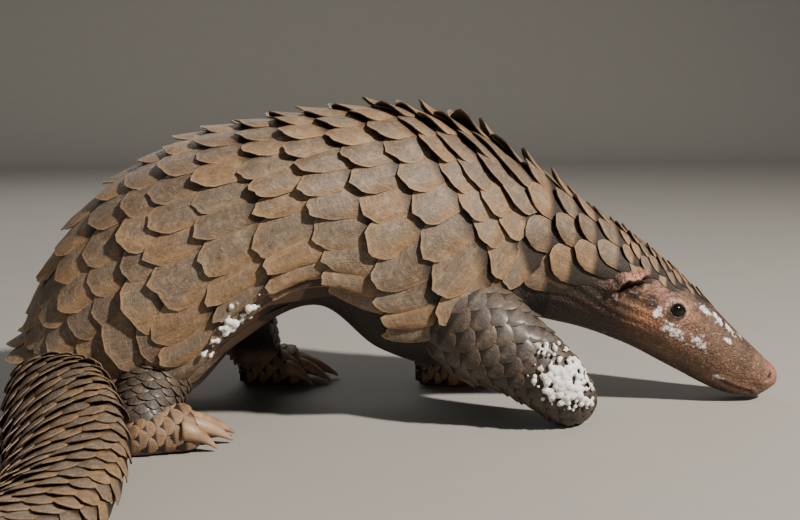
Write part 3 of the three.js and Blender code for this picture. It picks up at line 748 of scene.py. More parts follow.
def scale_points(tube, chosen, across, along, shape):
    """Points of many plates at once, with how far each lies along, across and inwards.

    A place a across and b along lies behind the tip by a reach of pitches times 1 - b',
    where b' is b times the tip's outline: 1 less a setback times a hyperbola and a sixth
    power of a. It lies beside the plate's axis by a times a width that swells from root to
    shoulders, and that axis is turned from the tube's by the site's own turn. Its height
    is the plate's times a line in b' plus a curl in b' to the fourth, less a share of a
    squared, so that the margins lie close and the tips stand off, the lower side most.
    """
    s, angle, pitch, spacing, turn, height, row, column = [
        value[:, None, None] for value in chosen]
    radius = (tube.girth_at(chosen[0]) / (2 * math.pi))[:, None, None]
    luck = {key: chance(row, column, salt) for key, salt in SALTS.items()}
    t = np.linspace(-1, 1, across + 1)
    a = (np.sign(t) * np.abs(t) ** 0.75)[None, None, :]
    b = (1 - (1 - np.linspace(0, 1, along + 1)) ** 1.6)[None, :, None]
    corner = shape["corner"] * (0.6 + 0.9 * luck["corner"])
    setback = shape["setback"] * (0.85 + 0.3 * luck["setback"])
    skewed = a + 0.22 * (luck["skew"] - 0.5) * (1 - a ** 2)
    point = (np.hypot(skewed, corner) - corner) / (np.hypot(1, corner) - corner)
    tip = 1 - setback * (point + shape["square"] * (a ** 6 - point))
    tip = tip + 0.016 * np.sin(a * 8 + luck["ripple"] * 20) * (1 - a ** 2)
    run = b * tip
    width = 0.6 + 0.4 * np.sin(np.minimum(run / shape["shoulder"], 1) * math.pi / 2)
    half = spacing / 2 * shape["overlap"] * (1 + 0.12 * (luck["width"] - 0.5))
    yaw = 0.24 * (luck["yaw"] - 0.5)
    reach = shape["reach"] * pitch * (1 + 0.1 * (luck["reach"] - 0.5))
    ahead = (shape["overhang"] + 0.16 * (luck["skew"] - 0.5)) * pitch - reach * (1 - run)
    beside = half * (a * width + yaw * (run - 0.4))
    at = s + ahead * np.cos(turn) - beside * np.sin(turn)
    turned = angle + (ahead * np.sin(turn) + beside * np.cos(turn)) / radius
    downward = a * np.sign(angle)
    raised = shape["raised"] * bump(s - RAISED_S, RAISED_SPAN) * bump(angle, RAISED_ANGLE)
    curl = shape["curl"] * (0.3 + 1.4 * luck["curl"] ** 2) + raised
    lift = 1 - shape["variation"] * luck["lift"]
    rise = 0.05 + shape["slope"] * run + curl * run ** 4
    rise = rise + 0.16 * (luck["twist"] - 0.5) * a * run
    rise = rise + shape["tilt"] * downward * run ** 3
    rise = height * lift * rise * (1 - shape["dome"] * a ** 2 * run)
    thickness = height * shape["thick"] * (0.5 + 0.5 * run)
    outer = (np.abs(a) > 0.999) | (b > 0.999)
    centre = tube.point(at, turned)
    normal = tube.normal(at, turned)
    top = centre + normal * (rise - 0.3 * thickness * outer)[..., None]
    low = centre + normal * (rise - thickness)[..., None]
    number = len(s)
    edge = edge_of(across, along)
    top = top.reshape(number, -1, 3)
    low = low.reshape(number, -1, 3)
    middle = (along // 2) * (across + 1) + across // 2
    values = []
    for value in (run, a * width, b):
        flat = np.broadcast_to(value, rise.shape).reshape(number, -1)
        values.append(np.hstack([flat, flat[:, edge], flat[:, middle][:, None]]).ravel())
    return np.hstack([top, low[:, edge], low[:, middle][:, None]]), values


def add_scales(name, tube, chosen, shape, material, slot, across=8, along=6):
    """All the plates of one tube as a single mesh, each a closed plate of its own.

    A plate's place on the bake's map is its root's share of the tube's round and length.
    """
    s, angle, _, spacing, _, _, row, column = chosen
    points, (run, spread, share) = scale_points(tube, chosen, across, along, shape)
    number, count = points.shape[:2]
    grid = (across + 1) * (along + 1)
    offset = (np.arange(number) * count)[:, None, None]
    quads, triangles = [(part[None] + offset).reshape(-1, part.shape[1]).tolist()
                        for part in scale_patch(across, along)]
    piece = add_mesh(name, points.reshape(-1, 3), quads + triangles, slot)
    mesh = piece.data
    order = np.arange(count)
    rim = np.zeros(count)
    rim[edge_of(across, along)] = 1
    rim[grid:-1] = 1
    # Mask of painted shade: full at the underside's middle, three quarters on the edge walls
    under = np.where(order == count - 1, 1.0, np.where(order >= grid, 0.75, 0.0))
    add_attribute(mesh, "own", np.repeat(chance(row, column, 21.0), count))
    add_attribute(mesh, "along", run)
    add_attribute(mesh, "rim", np.tile(rim, number))
    add_attribute(mesh, "under", np.tile(under, number))
    add_attribute(mesh, "core", np.exp(-(spread / 0.72) ** 2 - ((run - 0.76) / 0.24) ** 2))
    size = np.repeat(spacing * shape["overlap"] / GRAIN_WIDTH, count)
    local = np.stack([spread * 0.5 * size, share * size], axis=1)
    luck = np.stack([chance(row, column, 31.0), chance(row, column, 37.0)], axis=1)
    add_map(mesh, "Grain", local + np.repeat(luck * 40, count, axis=0))
    root = np.stack([np.mod(angle / (2 * math.pi) + 0.5, 1), s / tube.length], axis=1)
    patch = BAKE_PATCH * np.stack([spread * 0.5, run - 0.5], axis=1)
    add_map(mesh, "OFBake", np.repeat(root, count, axis=0) + patch)
    mesh.set_sharp_from_angle(angle=math.radians(48))
    mesh.materials.append(material)
    return piece


def sites(tube, start, end, least=0.9):
    """Staggered places of the tube's rows between two arc lengths that carry a plate."""
    rows = np.arange(1, len(tube.rows) - 1)
    rows = rows[(tube.rows[rows] >= start) & (tube.rows[rows] < end)]
    row, column = np.meshgrid(rows, np.arange(tube.columns), indexing="ij")
    row, column = row.ravel(), column.ravel()
    s = tube.rows[row]
    angle = (column + (row % 2) / 2) * 2 * math.pi / tube.columns
    angle = np.mod(angle + math.pi, 2 * math.pi) - math.pi
    pitch = (tube.rows[row + 1] - tube.rows[row - 1]) / 2
    spacing = tube.girth_at(s) / tube.columns
    height = tube.plate(s, angle)
    kept = height > least
    return [value[kept] for value in (s, angle, pitch, spacing, 0 * s, height, row, column)]


# Rings of the trunk's scales: arc length on the back, gap to the next, scales in a ring.
# Their slant is 0 at one arc length and changes at a rate, within a range; then the width
# of their bend on the back, how much closer they stand lower down, and their least height.
RINGS = np.array([
    [150, 12.5, 21], [200, 13.5, 23], [240, 14, 25], [270, 14, 26], [300, 14.5, 23],
    [330, 15.5, 20], [402, 14, 18],
])
SLANT_S, SLANT_RATE, SLANT_RANGE = 295, 0.0118, (-0.25, 0.75)
CHEVRON = 0.16
CROWDING = 0.15
EDGE_HEIGHT = 3.2

# Limbs: arc lengths at which scales start and at which those of the stump turn dark
LIMB_START, STUMP_DARK = 3, 33


def trunk_sites():
    """Places of the body's scales, in rings that run forward as they go down.

    The slant of a ring is a line in the arc length of its top, so the rings fan out on the
    flanks, and its shape over the back is that of the hyperbola root(angle^2 + c^2) - c.
    Each plate points square to its ring.
    """
    rings = [RINGS[0, 0]]
    while rings[-1] < trunk.length + 20:
        rings.append(rings[-1] + np.interp(rings[-1], RINGS[:, 0], RINGS[:, 1]))
    found = []
    for row, top in enumerate(rings):
        number = np.interp(top, RINGS[:, 0], RINGS[:, 2])
        column = np.arange(int(number / 2) + 4)
        even = (column + (row % 2) / 2) * 2 * math.pi / number
        angle = even - CROWDING / 2 * even ** 2
        radius = trunk.girth(min(top, trunk.length)) / (2 * math.pi)
        slant = np.clip((SLANT_S - top) * SLANT_RATE, *SLANT_RANGE)
        fan = SLANT_RATE * (SLANT_RANGE[0] < slant < SLANT_RANGE[1])
        bow = np.hypot(angle, CHEVRON)
        s = top - slant * radius * (bow - CHEVRON)
        bend = np.arctan(slant * angle / bow)
        gap = np.interp(top, RINGS[:, 0], RINGS[:, 1]) * (1 + fan * radius * angle)
        pitch = gap * np.cos(bend)
        spacing = 2 * math.pi * radius / number * (1 - CROWDING * even) / np.cos(bend)
        for hand in (-1, 1):
            kept = (angle > 0) | (hand > 0)
            values = (s, hand * angle, pitch, spacing, hand * bend, 0 * s + row,
                      hand * (column + 0.5 * (row % 2)))
            found.append(np.array([value[kept] for value in values]))
    s, angle, pitch, spacing, turn, row, column = np.hstack(found)
    return [s, angle, pitch, spacing, turn, trunk.plate(s, angle), row, column]


def between(chosen, start, end, least):
    """The sites of a list between two arc lengths whose scales are thick enough."""
    kept = (chosen[0] >= start) & (chosen[0] < end) & (chosen[5] > least)
    chosen = [value[kept] for value in chosen]
    chosen[5] = np.maximum(chosen[5], EDGE_HEIGHT)
    return chosen


# Shapes of the plates, in shares of their pitch, spacing and height. The tip: roundness
# of its corner, how far the sides stand back, squareness, and where the shoulders lie. The
# size: width, length behind the tip, how far the tip passes its place, spread of heights.
# The relief: rise, curl of the tip, dome across, lift of the lower side, thickness, and
# extra rise where the back arches.
BODY_PLATE = {
    "corner": 0.4, "setback": 0.21, "square": 0.4, "shoulder": 0.45, "overlap": 1.42,
    "reach": 2.2, "overhang": 0.5, "variation": 0.24, "slope": 0.84, "curl": 0.3, "dome": 0.36,
    "tilt": 0.5, "thick": 0.18, "raised": 0.8,
}
NECK_PLATE = dict(BODY_PLATE, overlap=0.98, reach=2.1, thick=0.26, curl=0.34, square=0.4,
                  setback=0.3, tilt=0.3, dome=0.24)
CROWN_PLATE = dict(NECK_PLATE, reach=2.5, setback=0.34, raised=0.2)
STUMP_PLATE = dict(BODY_PLATE, corner=0.5, setback=0.32, overlap=1.06, reach=2.3, square=0.2,
                   thick=0.34, curl=0.3, variation=0.45, raised=0, tilt=0)
LEG_PLATE = dict(STUMP_PLATE, corner=0.7, setback=0.3, overlap=1.1, reach=2.9, thick=0.2,
                 curl=0.25, variation=0.2)
FOOT_PLATE = dict(LEG_PLATE, reach=2.2, overlap=0.98, thick=0.36, variation=0.4)
TAIL_PLATE = dict(STUMP_PLATE, corner=0.3, setback=0.34, overlap=1.22, reach=2.75,
                  thick=0.16, variation=0.2)


# Sizes and colours

def colour(name, value, words):
    """A colour that a user may change."""
    return bpy.props.FloatVectorProperty(
        name=name, description=words, subtype="COLOR", size=4, min=0, max=1, default=value)


class PangolinSizes(bpy.types.PropertyGroup):
    """Sizes that a user would change."""

    skin_cell: bpy.props.FloatProperty(
        name="Skin cell", description="Width of one face of the skin, which all parts share",
        default=0.0021, min=0.001, max=0.004, unit="LENGTH")
    neck_columns: bpy.props.IntProperty(
        name="Neck columns", description="Scales round the neck", default=14, min=10, max=30)
    head_columns: bpy.props.IntProperty(
        name="Head columns", description="Scales round the head", default=17, min=12, max=40)
    stump_columns: bpy.props.IntProperty(
        name="Stump columns", description="Scales round the stump", default=12, min=8, max=24)
    leg_columns: bpy.props.IntProperty(
        name="Leg columns", description="Scales round each leg", default=11, min=8, max=24)
    bristles: bpy.props.IntProperty(
        name="Bristles", description="Hairs of jaw, cheeks and ears", default=1500, min=0, max=5000)
    bristle_length: bpy.props.FloatProperty(
        name="Bristle length", description="Longest bristle of the jaw",
        default=0.0035, min=0.001, max=0.01, unit="LENGTH")
    floor_width: bpy.props.FloatProperty(
        name="Floor width", description="Width of the studio floor",
        default=6.0, min=2, max=20, unit="LENGTH")


class PangolinColours(bpy.types.PropertyGroup):
    """Colours that a user would change."""

    ochre: colour("Ochre horn", (0.215, 0.124, 0.058, 1), "Margins of a body scale")
    grey: colour("Grey horn", (0.128, 0.094, 0.066, 1), "Middle of a body scale")
    # Worn horn also paints the pale rims of the plates, partly as a highlight
    worn: colour("Worn horn", (0.38, 0.26, 0.155, 1), "Scratches and rubbed edges")
    dark_horn: colour("Dark horn", (0.06, 0.032, 0.016, 1), "Deep horn and its stains")
    # Near black painted shade for the covered roots of the scales and for the bare body skin
    # between them and on the belly
    painted_shade: colour("Painted shade", (0.008, 0.004, 0.002, 1), "Shade at the roots of the scales")
    # Painted shade for the undersides and edge walls of the plates
    underside: colour("Underside", (0.05, 0.024, 0.012, 1), "Underside of a scale")
    limb_ochre: colour("Limb horn", (0.042, 0.028, 0.018, 1), "Margins of a limb scale")
    limb_grey: colour("Grey limb horn", (0.03, 0.026, 0.023, 1), "Middle of a limb scale")
    arm_ochre: colour("Upper arm horn", (0.056, 0.038, 0.025, 1), "Margins of an upper arm scale")
    arm_grey: colour("Grey arm horn", (0.05, 0.041, 0.035, 1), "Middle of an upper arm scale")
    foot_horn: colour("Foot horn", (0.26, 0.16, 0.1, 1), "Plates of the feet")
    skin: colour("Skin", (0.13, 0.068, 0.035, 1), "Bare skin of the snout")
    skin_brown: colour("Brown skin", (0.075, 0.037, 0.019, 1), "Blotches of the face")
    # Dark skin: own colour of crusts, specks, throat and body skin, and painted shade in ear hole,
    # nostrils, mouth, eye well, under the jaw and on the belly
    skin_dark: colour("Dark skin", (0.032, 0.014, 0.008, 1), "Throat, ear hole and belly")
    skin_pink: colour("Pink skin", (0.32, 0.14, 0.092, 1), "Ear, nose and lips")
    skin_warm: colour("Warm skin", (0.3, 0.12, 0.052, 1), "Cheek behind the eye")
    skin_pale: colour("Pale skin", (0.48, 0.35, 0.27, 1), "Rims round the eye, dry flakes")
    claw: colour("Claw", (0.34, 0.21, 0.13, 1), "Claws")
    powder: colour("Powder", (0.8, 0.78, 0.76, 1), "Dried wound powder")
    sore: colour("Sore", (0.42, 0.15, 0.12, 1), "Healing skin under the powder")
    floor: colour("Floor", (0.3, 0.285, 0.26, 1), "Studio floor")


# Skin

def polyline_distance(points, line):
    """Least distance from each point to a line through the given places, and its share."""
    best = np.full(len(points), np.inf)
    share = np.zeros(len(points))
    for k in range(len(line) - 1):
        step = line[k + 1] - line[k]
        t = np.clip(((points - line[k]) @ step) / (step @ step), 0, 1)
        distance = np.linalg.norm(points - line[k] - t[:, None] * step, axis=1)
        closer = distance < best
        best[closer] = distance[closer]
        share[closer] = (k + t[closer]) / (len(line) - 1)
    return best, share


def mouth_line():
    """Mouth from corner to corner, lowest and furthest forward in the middle."""
    share = np.linspace(-1, 1, 49)
    s = MOUTH_FRONT + (MOUTH_CORNER - MOUTH_FRONT) * np.abs(share) ** 1.6
    angle = 180 + (MOUTH_ANGLE - 180) * np.minimum(1, np.abs(share) * 2.4)
    return trunk.point(s, np.where(share < 0, -1, 1) * np.radians(angle))


def face_axes(s, angle, tilt):
    """Skin point with its outward, forward and upward directions, forward turned up."""
    root = trunk.point(s, angle)
    outward = trunk.normal(s, angle)
    forward = unit(trunk.point(s - 4, angle) - root)
    forward = unit(forward - outward * dots(outward, forward))
    upward = np.cross(outward, forward)
    upward = upward * np.sign(upward[2])
    turn = math.radians(tilt)
    ahead = forward * math.cos(turn) + upward * math.sin(turn)
    return root, outward, ahead, upward * math.cos(turn) - forward * math.sin(turn)


def eye_relief(points, hand):
    """Lid: a hill past the opening's rim, less three ring folds, and a well for the eye."""
    angle = hand * math.radians(EYE_ANGLE)
    root, outward, forward, upward = face_axes(EYE_S, angle, EYE_TILT)
    away = points - root
    x, y = away @ forward, away @ upward
    near = (np.abs(away @ outward) < 9) & (np.hypot(x, y) < 22)
    rho = np.hypot(x / EYE_STRETCH[0], y / EYE_STRETCH[1])
    lid = LID_HEIGHT * bump(np.maximum(rho - LID_RADIUS, 0), LID_WIDTH)
    folds = sum(depth * bump(rho - radius, width) for radius, depth, width in LID_FOLDS)
    height = np.where(near, np.where(rho < WELL_RADIUS, -WELL_DEPTH, lid - folds), 0)
    tones = {
        # Painted shade in the eye's well and at the lid's inner edge
        "dark_skin_and_shade": bump(np.maximum(rho - LID_RADIUS, 0), 0.8),
        # Pale ring on the lid: pale skin with a painted highlight
        "pale": 0.6 * bump(rho - 5.2, 0.9),
        "pink": 0.55 * bump(rho - 6, 3.5),
    }
    return height, {key: np.where(near, value, 0) for key, value in tones.items()}


def ear_relief(points, hand):
    """Ear: a ridge along a wavy arch that hangs over a slot, and a low lobe below."""
    angle = hand * math.radians(EAR_ANGLE)
    root, outward, ahead, above = face_axes(EAR_S, angle, EAR_TILT)
    away = points - root
    x, y = away @ ahead, away @ above
    near = (np.abs(away @ outward) < 12) & (np.hypot(x, y) < 26)
    y = y - EAR_RISE + 0.012 * x ** 2 + 0.7 * np.sin(0.55 * x) + 0.35 * np.sin(1.5 * x + 1)
    reach = smoothstep(np.abs(x), 14.5, 9)
    ridge = bump(y, 2.3 + 0.07 * np.clip(x, -8, 12)) * reach
    slot = bump(y + SLOT_DROP, 1.9) * smoothstep(np.abs(x + 0.5), 10, 4)
    lobe = bump(y + LOBE_DROP, 1.6) * smoothstep(np.abs(x + 2), 11, 6)
    push = (RIDGE_HEIGHT * ridge - SLOT_DEPTH * slot + LOBE_HEIGHT * lobe)[:, None] * outward
    push = push - (RIDGE_HANG * ridge)[:, None] * above
    tones = {
        "pink": np.maximum(bump(y - 0.6, 2.8) * reach, 0.5 * lobe),
        # Painted shade in the ear's slot and the hollow round it
        "dark_skin_and_shade": np.maximum(0.8 * slot, 0.6 * bump(np.hypot((x + 3) / 12, (y + 5) / 4.2), 1)),
    }
    push = np.where(near[:, None], push, 0)
    return push, {key: np.where(near, value, 0) for key, value in tones.items()}


def nostril_relief(points, hand):
    """Nostril: a bent slit with a low rim."""
    angle = hand * math.radians(NOSTRIL_ANGLE)
    root, _, forward, upward = face_axes(NOSTRIL_S, angle, NOSTRIL_TILT)
    away = points - root
    x, y = away @ forward, away @ upward
    near = np.linalg.norm(away, axis=1) < 8
    slit = np.hypot(x / 2.4, (y - 0.12 * x ** 2) / 0.8)
    height = np.where(near, -2.2 * bump(slit, 1.0) + 0.5 * bump(slit - 2.1, 0.7), 0)
    # Painted shade in the nostril's slit
    return height, {"dark_skin_and_shade": np.where(near, bump(slit, 1.15), 0)}


# Markings of the face: tone, arc length, angle from the top, their spreads, strength
MARKINGS = (
    ("warm", 84, 100, 9, 13, 1.0), ("warm", 92, 112, 12, 10, 0.6), ("warm", 64, 70, 7, 8, 0.8),
    ("warm", 66, 108, 14, 9, 0.4), ("pink", 3, 60, 6, 60, 0.8), ("pink", 18, 128, 14, 12, 0.7),
    ("pink", 84, 72, 7, 9, 0.7), ("pink", 60, 92, 9, 9, 0.4),
    ("crust", 60, 36, 11, 20, 1.1), ("crust", 46, 42, 10, 16, 1.1), ("crust", 80, 56, 8, 11, 1.0),
    ("crust", 86, 87, 6, 7, 1.0), ("crust", 58, 62, 7, 6, 0.7), ("crust", 26, 42, 10, 22, 0.5),
    ("crust", 101, 86, 12, 7, 0.9), ("crust", 93, 64, 7, 7, 0.8),
    ("powder", 79.5, 92, 2.6, 6, 1.2), ("powder", 57.5, 55, 5, 8, 0.85),
    ("powder", 49, 50, 6, 9, 0.8), ("powder", 40, 46, 6, 8, 0.75), ("powder", 38, 66, 3, 4, 1.2),
    ("powder", 65.5, 98, 9, 9, 0.78), ("powder", 51, 93, 8, 10, 0.62),
    ("powder", 30.5, 121, 3.5, 5, 0.9), ("powder", 32, 36, 4, 6, 0.7),
)


def face_tones(s, angle):
    """Each tone is the strongest of its markings, all rounded hills over s and angle."""
    tones = {key: np.zeros(len(s)) for key in ("warm", "pink", "crust", "powder")}
    for key, at, turn, along, round_, strength in MARKINGS:
        hill = strength * bump(np.hypot((s - at) / along, (angle - turn) / round_), 1.0)
        tones[key] = np.maximum(tones[key], hill)
    # Throat: its own dark skin with painted shade; underside of the head: painted shade
    throat = smoothstep(s, 82, 104) * smoothstep(angle, 96, 116)
    tones["dark_skin_and_shade"] = np.maximum(0.92 * throat, 0.55 * smoothstep(angle, 120, 150) * (s > 20))
    return tones


def face_relief(points):
    """Push of each skin point in millimetres along its normal and freely, and its tones."""
    s, angle = trunk.place_of(points)
    tones = face_tones(s, angle)
    tones["pale"] = np.zeros(len(points))
    wrinkles = np.sin(angle * 0.62 + 2.2 * np.sin(s * 0.11) + 0.02 * s ** 1.2)
    height = 0.28 * wrinkles * smoothstep(s, 70, 90) * smoothstep(np.abs(angle - 112), 34, 18)
    height += 0.3 * np.sin(s * 0.8 + 0.05 * angle) * bump(s - 24, 9) * bump(angle - 70, 34)
    height += 0.35 * tones["powder"]
    push = np.zeros_like(points)
    for hand in (-1, 1):
        lids, found = eye_relief(points, hand)
        height += lids
        slits, more = nostril_relief(points, hand)
        height += slits
        ridge, last = ear_relief(points, hand)
        push += ridge
        for group in (found, more, last):
            for key, value in group.items():
                tones[key] = np.maximum(tones[key], value)
    distance, share = polyline_distance(points, mouth_line())
    end = smoothstep(np.minimum(share, 1 - share), 0, 0.06)
    height += end * (0.7 * bump(distance - 1.7, 1.0) - 1.2 * bump(distance, 0.5))
    # Painted shade along the crease of the mouth
    tones["dark_skin_and_shade"] = np.maximum(tones["dark_skin_and_shade"], 0.9 * end * bump(distance, 0.8))
    return height, push, tones


class PANGOLIN_OT_skin(bpy.types.Operator):
    """Grow one skin over head, trunk, limbs, feet and tail, with the face worked into it"""

    bl_idname = "pangolin.skin"
    bl_label = "Skin"

    def execute(self, context):
        sizes = context.scene.pangolin_sizes
        parts = [closed_tube(trunk, 260, 96), closed_tube(tail, 180, 64)]
        for rows, hand in LIMBS.values():
            parts.append(closed_tube(Tube(limb_stations(rows, hand), 8, 0.5), 40, 48))
        for name in FEET:
            parts.append(closed_tube(Tube(foot_stations(name), 8, 0.52), 40, 48))
        piece = add_mesh("skin", *joined(parts), "skin")
        baked = remeshed(context, piece, sizes.skin_cell, 4)
        self.refine_head(baked)
        metres = vertices_of(baked)
        front = metres[:, 0] > place(np.array([FACE_START, 0, 0]))[0]
        height, push, tones = face_relief((metres[front] - SHIFT) * 1000)
        moved = push + vertex_normals(baked)[front] * height[:, None]
        metres[front] += moved / 1000
        metres[:, 2] = np.maximum(metres[:, 2], 0)
        set_vertices(baked, metres)
        smooth_shaded(baked)
        for key, values in tones.items():
            spread = np.zeros(len(metres))
            spread[front] = np.clip(values, 0, 1)
            add_attribute(baked, key, spread)
        points = (metres - SHIFT) * 1000
        ahead = points[:, 0] + HEAD_LEAN * points[:, 2]
        add_attribute(baked, "head", smoothstep(ahead, HEAD_BACK, HEAD_FRONT))
        under = (points[:, 0] < PAW_FRONT) * (points[:, 0] > PAW_BACK)
        add_attribute(baked, "foot", smoothstep(points[:, 2], PAW_TOP, PAW_LOW) * under)
        baked.materials.append(skin_finish(context.scene.pangolin_colours))
        flesh = [name for name in frame["nodes"]
                 if "claw" not in name and "eye" not in name]
        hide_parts(*flesh)
        return {"FINISHED"}

    def refine_head(self, mesh):
        """Cut the faces of the head in four, twice, the second time near its features."""
        work = bmesh.new()
        work.from_mesh(mesh)
        places = [(EYE_S, EYE_ANGLE), (EAR_S, EAR_ANGLE), (NOSTRIL_S, NOSTRIL_ANGLE)]
        centres = [Vector(place(trunk.point(s, hand * math.radians(angle))))
                   for s, angle in places for hand in (-1, 1)]
        limit = place(np.array([FACE_START, 0, 0]))[0]
        edges = [e for e in work.edges if min(v.co.x for v in e.verts) > limit]
        bmesh.ops.subdivide_edges(work, edges=edges, cuts=1, use_grid_fill=True)
        edges = [e for e in work.edges
                 if any((e.verts[0].co - centre).length < FEATURE_REACH for centre in centres)]
        bmesh.ops.subdivide_edges(work, edges=edges, cuts=1, use_grid_fill=True)
        work.to_mesh(mesh)
        work.free()


def skin_finish(tones):
    """Bare skin: tan and brown, pink ear and nose, warm cheek, crusts, flakes, powder; painted
    shade in hollows, throat and belly.
    """
    look = Finish("bare_skin", Specular_IOR_Level=0.45, Subsurface_Weight=0.05,
                  Subsurface_Scale=0.002)
    objects = look.objects()
    keys = ("head", "foot", "dark_skin_and_shade", "pink", "warm", "pale", "crust", "powder")
    head, foot, dark_skin_and_shade, pink, warm, pale, crust, powder = (look.attribute(key) for key in keys)
    broad = look.noise(objects, 95, 4, 0.65)
    coarse = look.noise(objects, 260, 4, 0.7)
    grit = look.noise(objects, 520, 3, 0.65)
    speck = look.noise(objects, 980, 2, 0.6)
    cells = look.add("ShaderNodeTexVoronoi", {"feature": "DISTANCE_TO_EDGE"},
                     {"Vector": objects, "Scale": 420.0})
    wrinkle = look.noise(objects, 170, 4, 0.6, stretch=(1, 1, 1.7), turn=(0, 0.5, 0))
    face = look.mix(broad.between(0.38, 0.62), tones.skin, tones.skin_brown)
    face = look.mix(warm * coarse.between(0.25, 0.5), face, tones.skin_warm)
    face = look.mix(pink * coarse.between(0.2, 0.5), face, tones.skin_pink)
    # Pale lid ring in spots: pale skin and painted highlight
    face = look.mix(pale * grit.between(0.3, 0.55), face, tones.skin_pale)
    crusted = (crust * 1.1 + (coarse - 0.5) * 2.4).between(0.3, 0.7)
    face = look.mix(crusted * 0.9, face, tones.skin_dark)
    face = look.mix(coarse.between(0.54, 0.66) * (1 - pink * 0.7) * 0.6, face, tones.skin_brown)
    flaked = grit.between(0.57, 0.67) * (1 - dark_skin_and_shade) * 0.34
    face = look.mix(flaked, face, tones.skin_pale)
    face = look.mix((1 - speck.between(0.33, 0.42)) * 0.8, face, tones.skin_dark)
    # Body skin: dark skin blotched with painted shade, darkest look between the scales and on the
    # belly
    body = look.mix(coarse.between(0.3, 0.5), tones.skin_dark, tones.painted_shade)
    paw = look.mix(broad.between(0.35, 0.65), tones.foot_horn, tones.skin_brown)
    body = look.mix(foot * 0.85, body, paw)
    shade = look.mix(head, body, face)
    # Painted shade in the hollows, under the jaw and on the throat, where the throat's dark skin is
    # also its own
    shade = look.mix(dark_skin_and_shade.between(0.1, 0.85), shade, tones.skin_dark)
    white = (powder * 1.15 + (grit - 0.5) * 1.7 + (coarse - 0.5) * 1.1).between(0.4, 0.95)
    white = white * powder.between(0.02, 0.2)
    shade = look.mix(white * 0.8, shade, tones.powder)
    rough = 0.62 - dark_skin_and_shade * 0.15 - pink * 0.12 + white * 0.2
    height = (wrinkle * 0.6 + coarse * 0.6 + grit * 0.6 + speck * 0.25
              + cells.between(0, 0.25) * 0.5 + white * 0.5 + crusted * 0.3)
    return look.finish(shade, rough, height, 0.75, 0.0005)


class PANGOLIN_OT_body_scales(bpy.types.Operator):
    """Lay the large scales of back, flanks and rump"""

    bl_idname = "pangolin.body_scales"
    bl_label = "Body scales"

    def execute(self, context):
        tones = context.scene.pangolin_colours
        horn = horn_finish("worn_horn", tones.ochre, tones.grey, tones)
        chosen = between(trunk_sites(), trunk.knots[NECK] + 6, trunk.length + 6, 1.5)
        add_scales("body_scales", trunk, chosen, BODY_PLATE, horn, "body_scales", 10, 4)
        return {"FINISHED"}


class PANGOLIN_OT_head_scales(bpy.types.Operator):
    """Lay the thick scales of the neck and the small ones of the crown"""

    bl_idname = "pangolin.head_scales"
    bl_label = "Neck and head scales"

    def execute(self, context):
        sizes = context.scene.pangolin_sizes
        horn = bpy.data.materials["worn_horn"]
        join = trunk.knots[CROWN] + 16
        neck = Tube(trunk.values, sizes.neck_columns, 0.95, TRUNK_DOME)
        chosen = sites(neck, join, trunk.knots[NECK] + 8)
        add_scales("neck_scales", neck, chosen, NECK_PLATE, horn, "body_scales")
        crown = Tube(trunk.values, sizes.head_columns, 0.58, TRUNK_DOME, 3.5)
        chosen = sites(crown, trunk.knots[BROW] - 10, join, 0.3)
        add_scales("crown_scales", crown, chosen, CROWN_PLATE, horn, "body_scales", 6, 5)
        return {"FINISHED"}


class PANGOLIN_OT_tail_scales(bpy.types.Operator):
    """Lay the scales of the tail, folded over its edges"""

    bl_idname = "pangolin.tail_scales"
    bl_label = "Tail scales"

    def execute(self, context):
        horn = bpy.data.materials["worn_horn"]
        chosen = sites(tail, TAIL_START - 16, tail.length, 0.5)
        add_scales("tail_scales", tail, chosen, TAIL_PLATE, horn, "body_scales")
        return {"FINISHED"}


class PANGOLIN_OT_limb_scales(bpy.types.Operator):
    """Lay the blocky scales of the stump, the shingled ones of legs and feet"""

    bl_idname = "pangolin.limb_scales"
    bl_label = "Limb scales"

    def execute(self, context):
        sizes = context.scene.pangolin_sizes
        tones = context.scene.pangolin_colours
        dark = horn_finish("dark_horn", tones.limb_ochre, tones.limb_grey, tones, 0.25, 0.5)
        brown = horn_finish("arm_horn", tones.arm_ochre, tones.arm_grey, tones, 0.25, 0.5)
        pale = horn_finish("foot_horn", tones.foot_horn, tones.ochre, tones)
        for name, (rows, hand) in LIMBS.items():
            stations = limb_stations(rows, hand)
            if name == "foreleg_right":
                tube = Tube(stations, sizes.stump_columns, 0.52, 1.0, 2.4)
                self.lay("upper_arm_scales", tube, LIMB_START, STUMP_DARK, STUMP_PLATE, brown)
                self.lay(f"{name}_scales", tube, STUMP_DARK, tube.length, STUMP_PLATE, dark)
            else:
                tube = Tube(stations, sizes.leg_columns, 0.36, 1.0, 2.4)
                self.lay(f"{name}_scales", tube, LIMB_START, tube.length, LEG_PLATE, dark)
        for name in FEET:
            tube = foot_plates_tube(name)
            self.lay(f"{name}_scales", tube, 1, tube.length * 0.8, FOOT_PLATE, pale)
        return {"FINISHED"}

    def lay(self, name, tube, start, end, shape, material):
        """Scales of one limb between two arc lengths."""
        chosen = sites(tube, start, end, 0.4)
        add_scales(name, tube, chosen, shape, material, "limb_scales", 6, 5)


class PANGOLIN_OT_eyes(bpy.types.Operator):
    """Give the eyes their wet black finish"""

    bl_idname = "pangolin.eyes"
    bl_label = "Eyes"

    def execute(self, context):
        look = Finish("wet_eye", Coat_Weight=0.35, Coat_Roughness=0.04, Specular_IOR_Level=0.12)
        cloud = look.noise(look.objects(), 900, 2)
        shade = look.mix(cloud, (0.003, 0.002, 0.0015, 1), (0.01, 0.006, 0.004, 1))
        look.finish(shade, 0.05 + cloud * 0.04)
        points, faces = ball(40, 25)
        for name, hand in (("eye_right", -1), ("eye_left", 1)):
            placed = points * EYE_RADIUS + eye_centre(hand)
            eye = add_mesh(f"{name}_ball", placed, faces, "eyes")
            eye.data.materials.append(look.material)
            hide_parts(name)
        return {"FINISHED"}


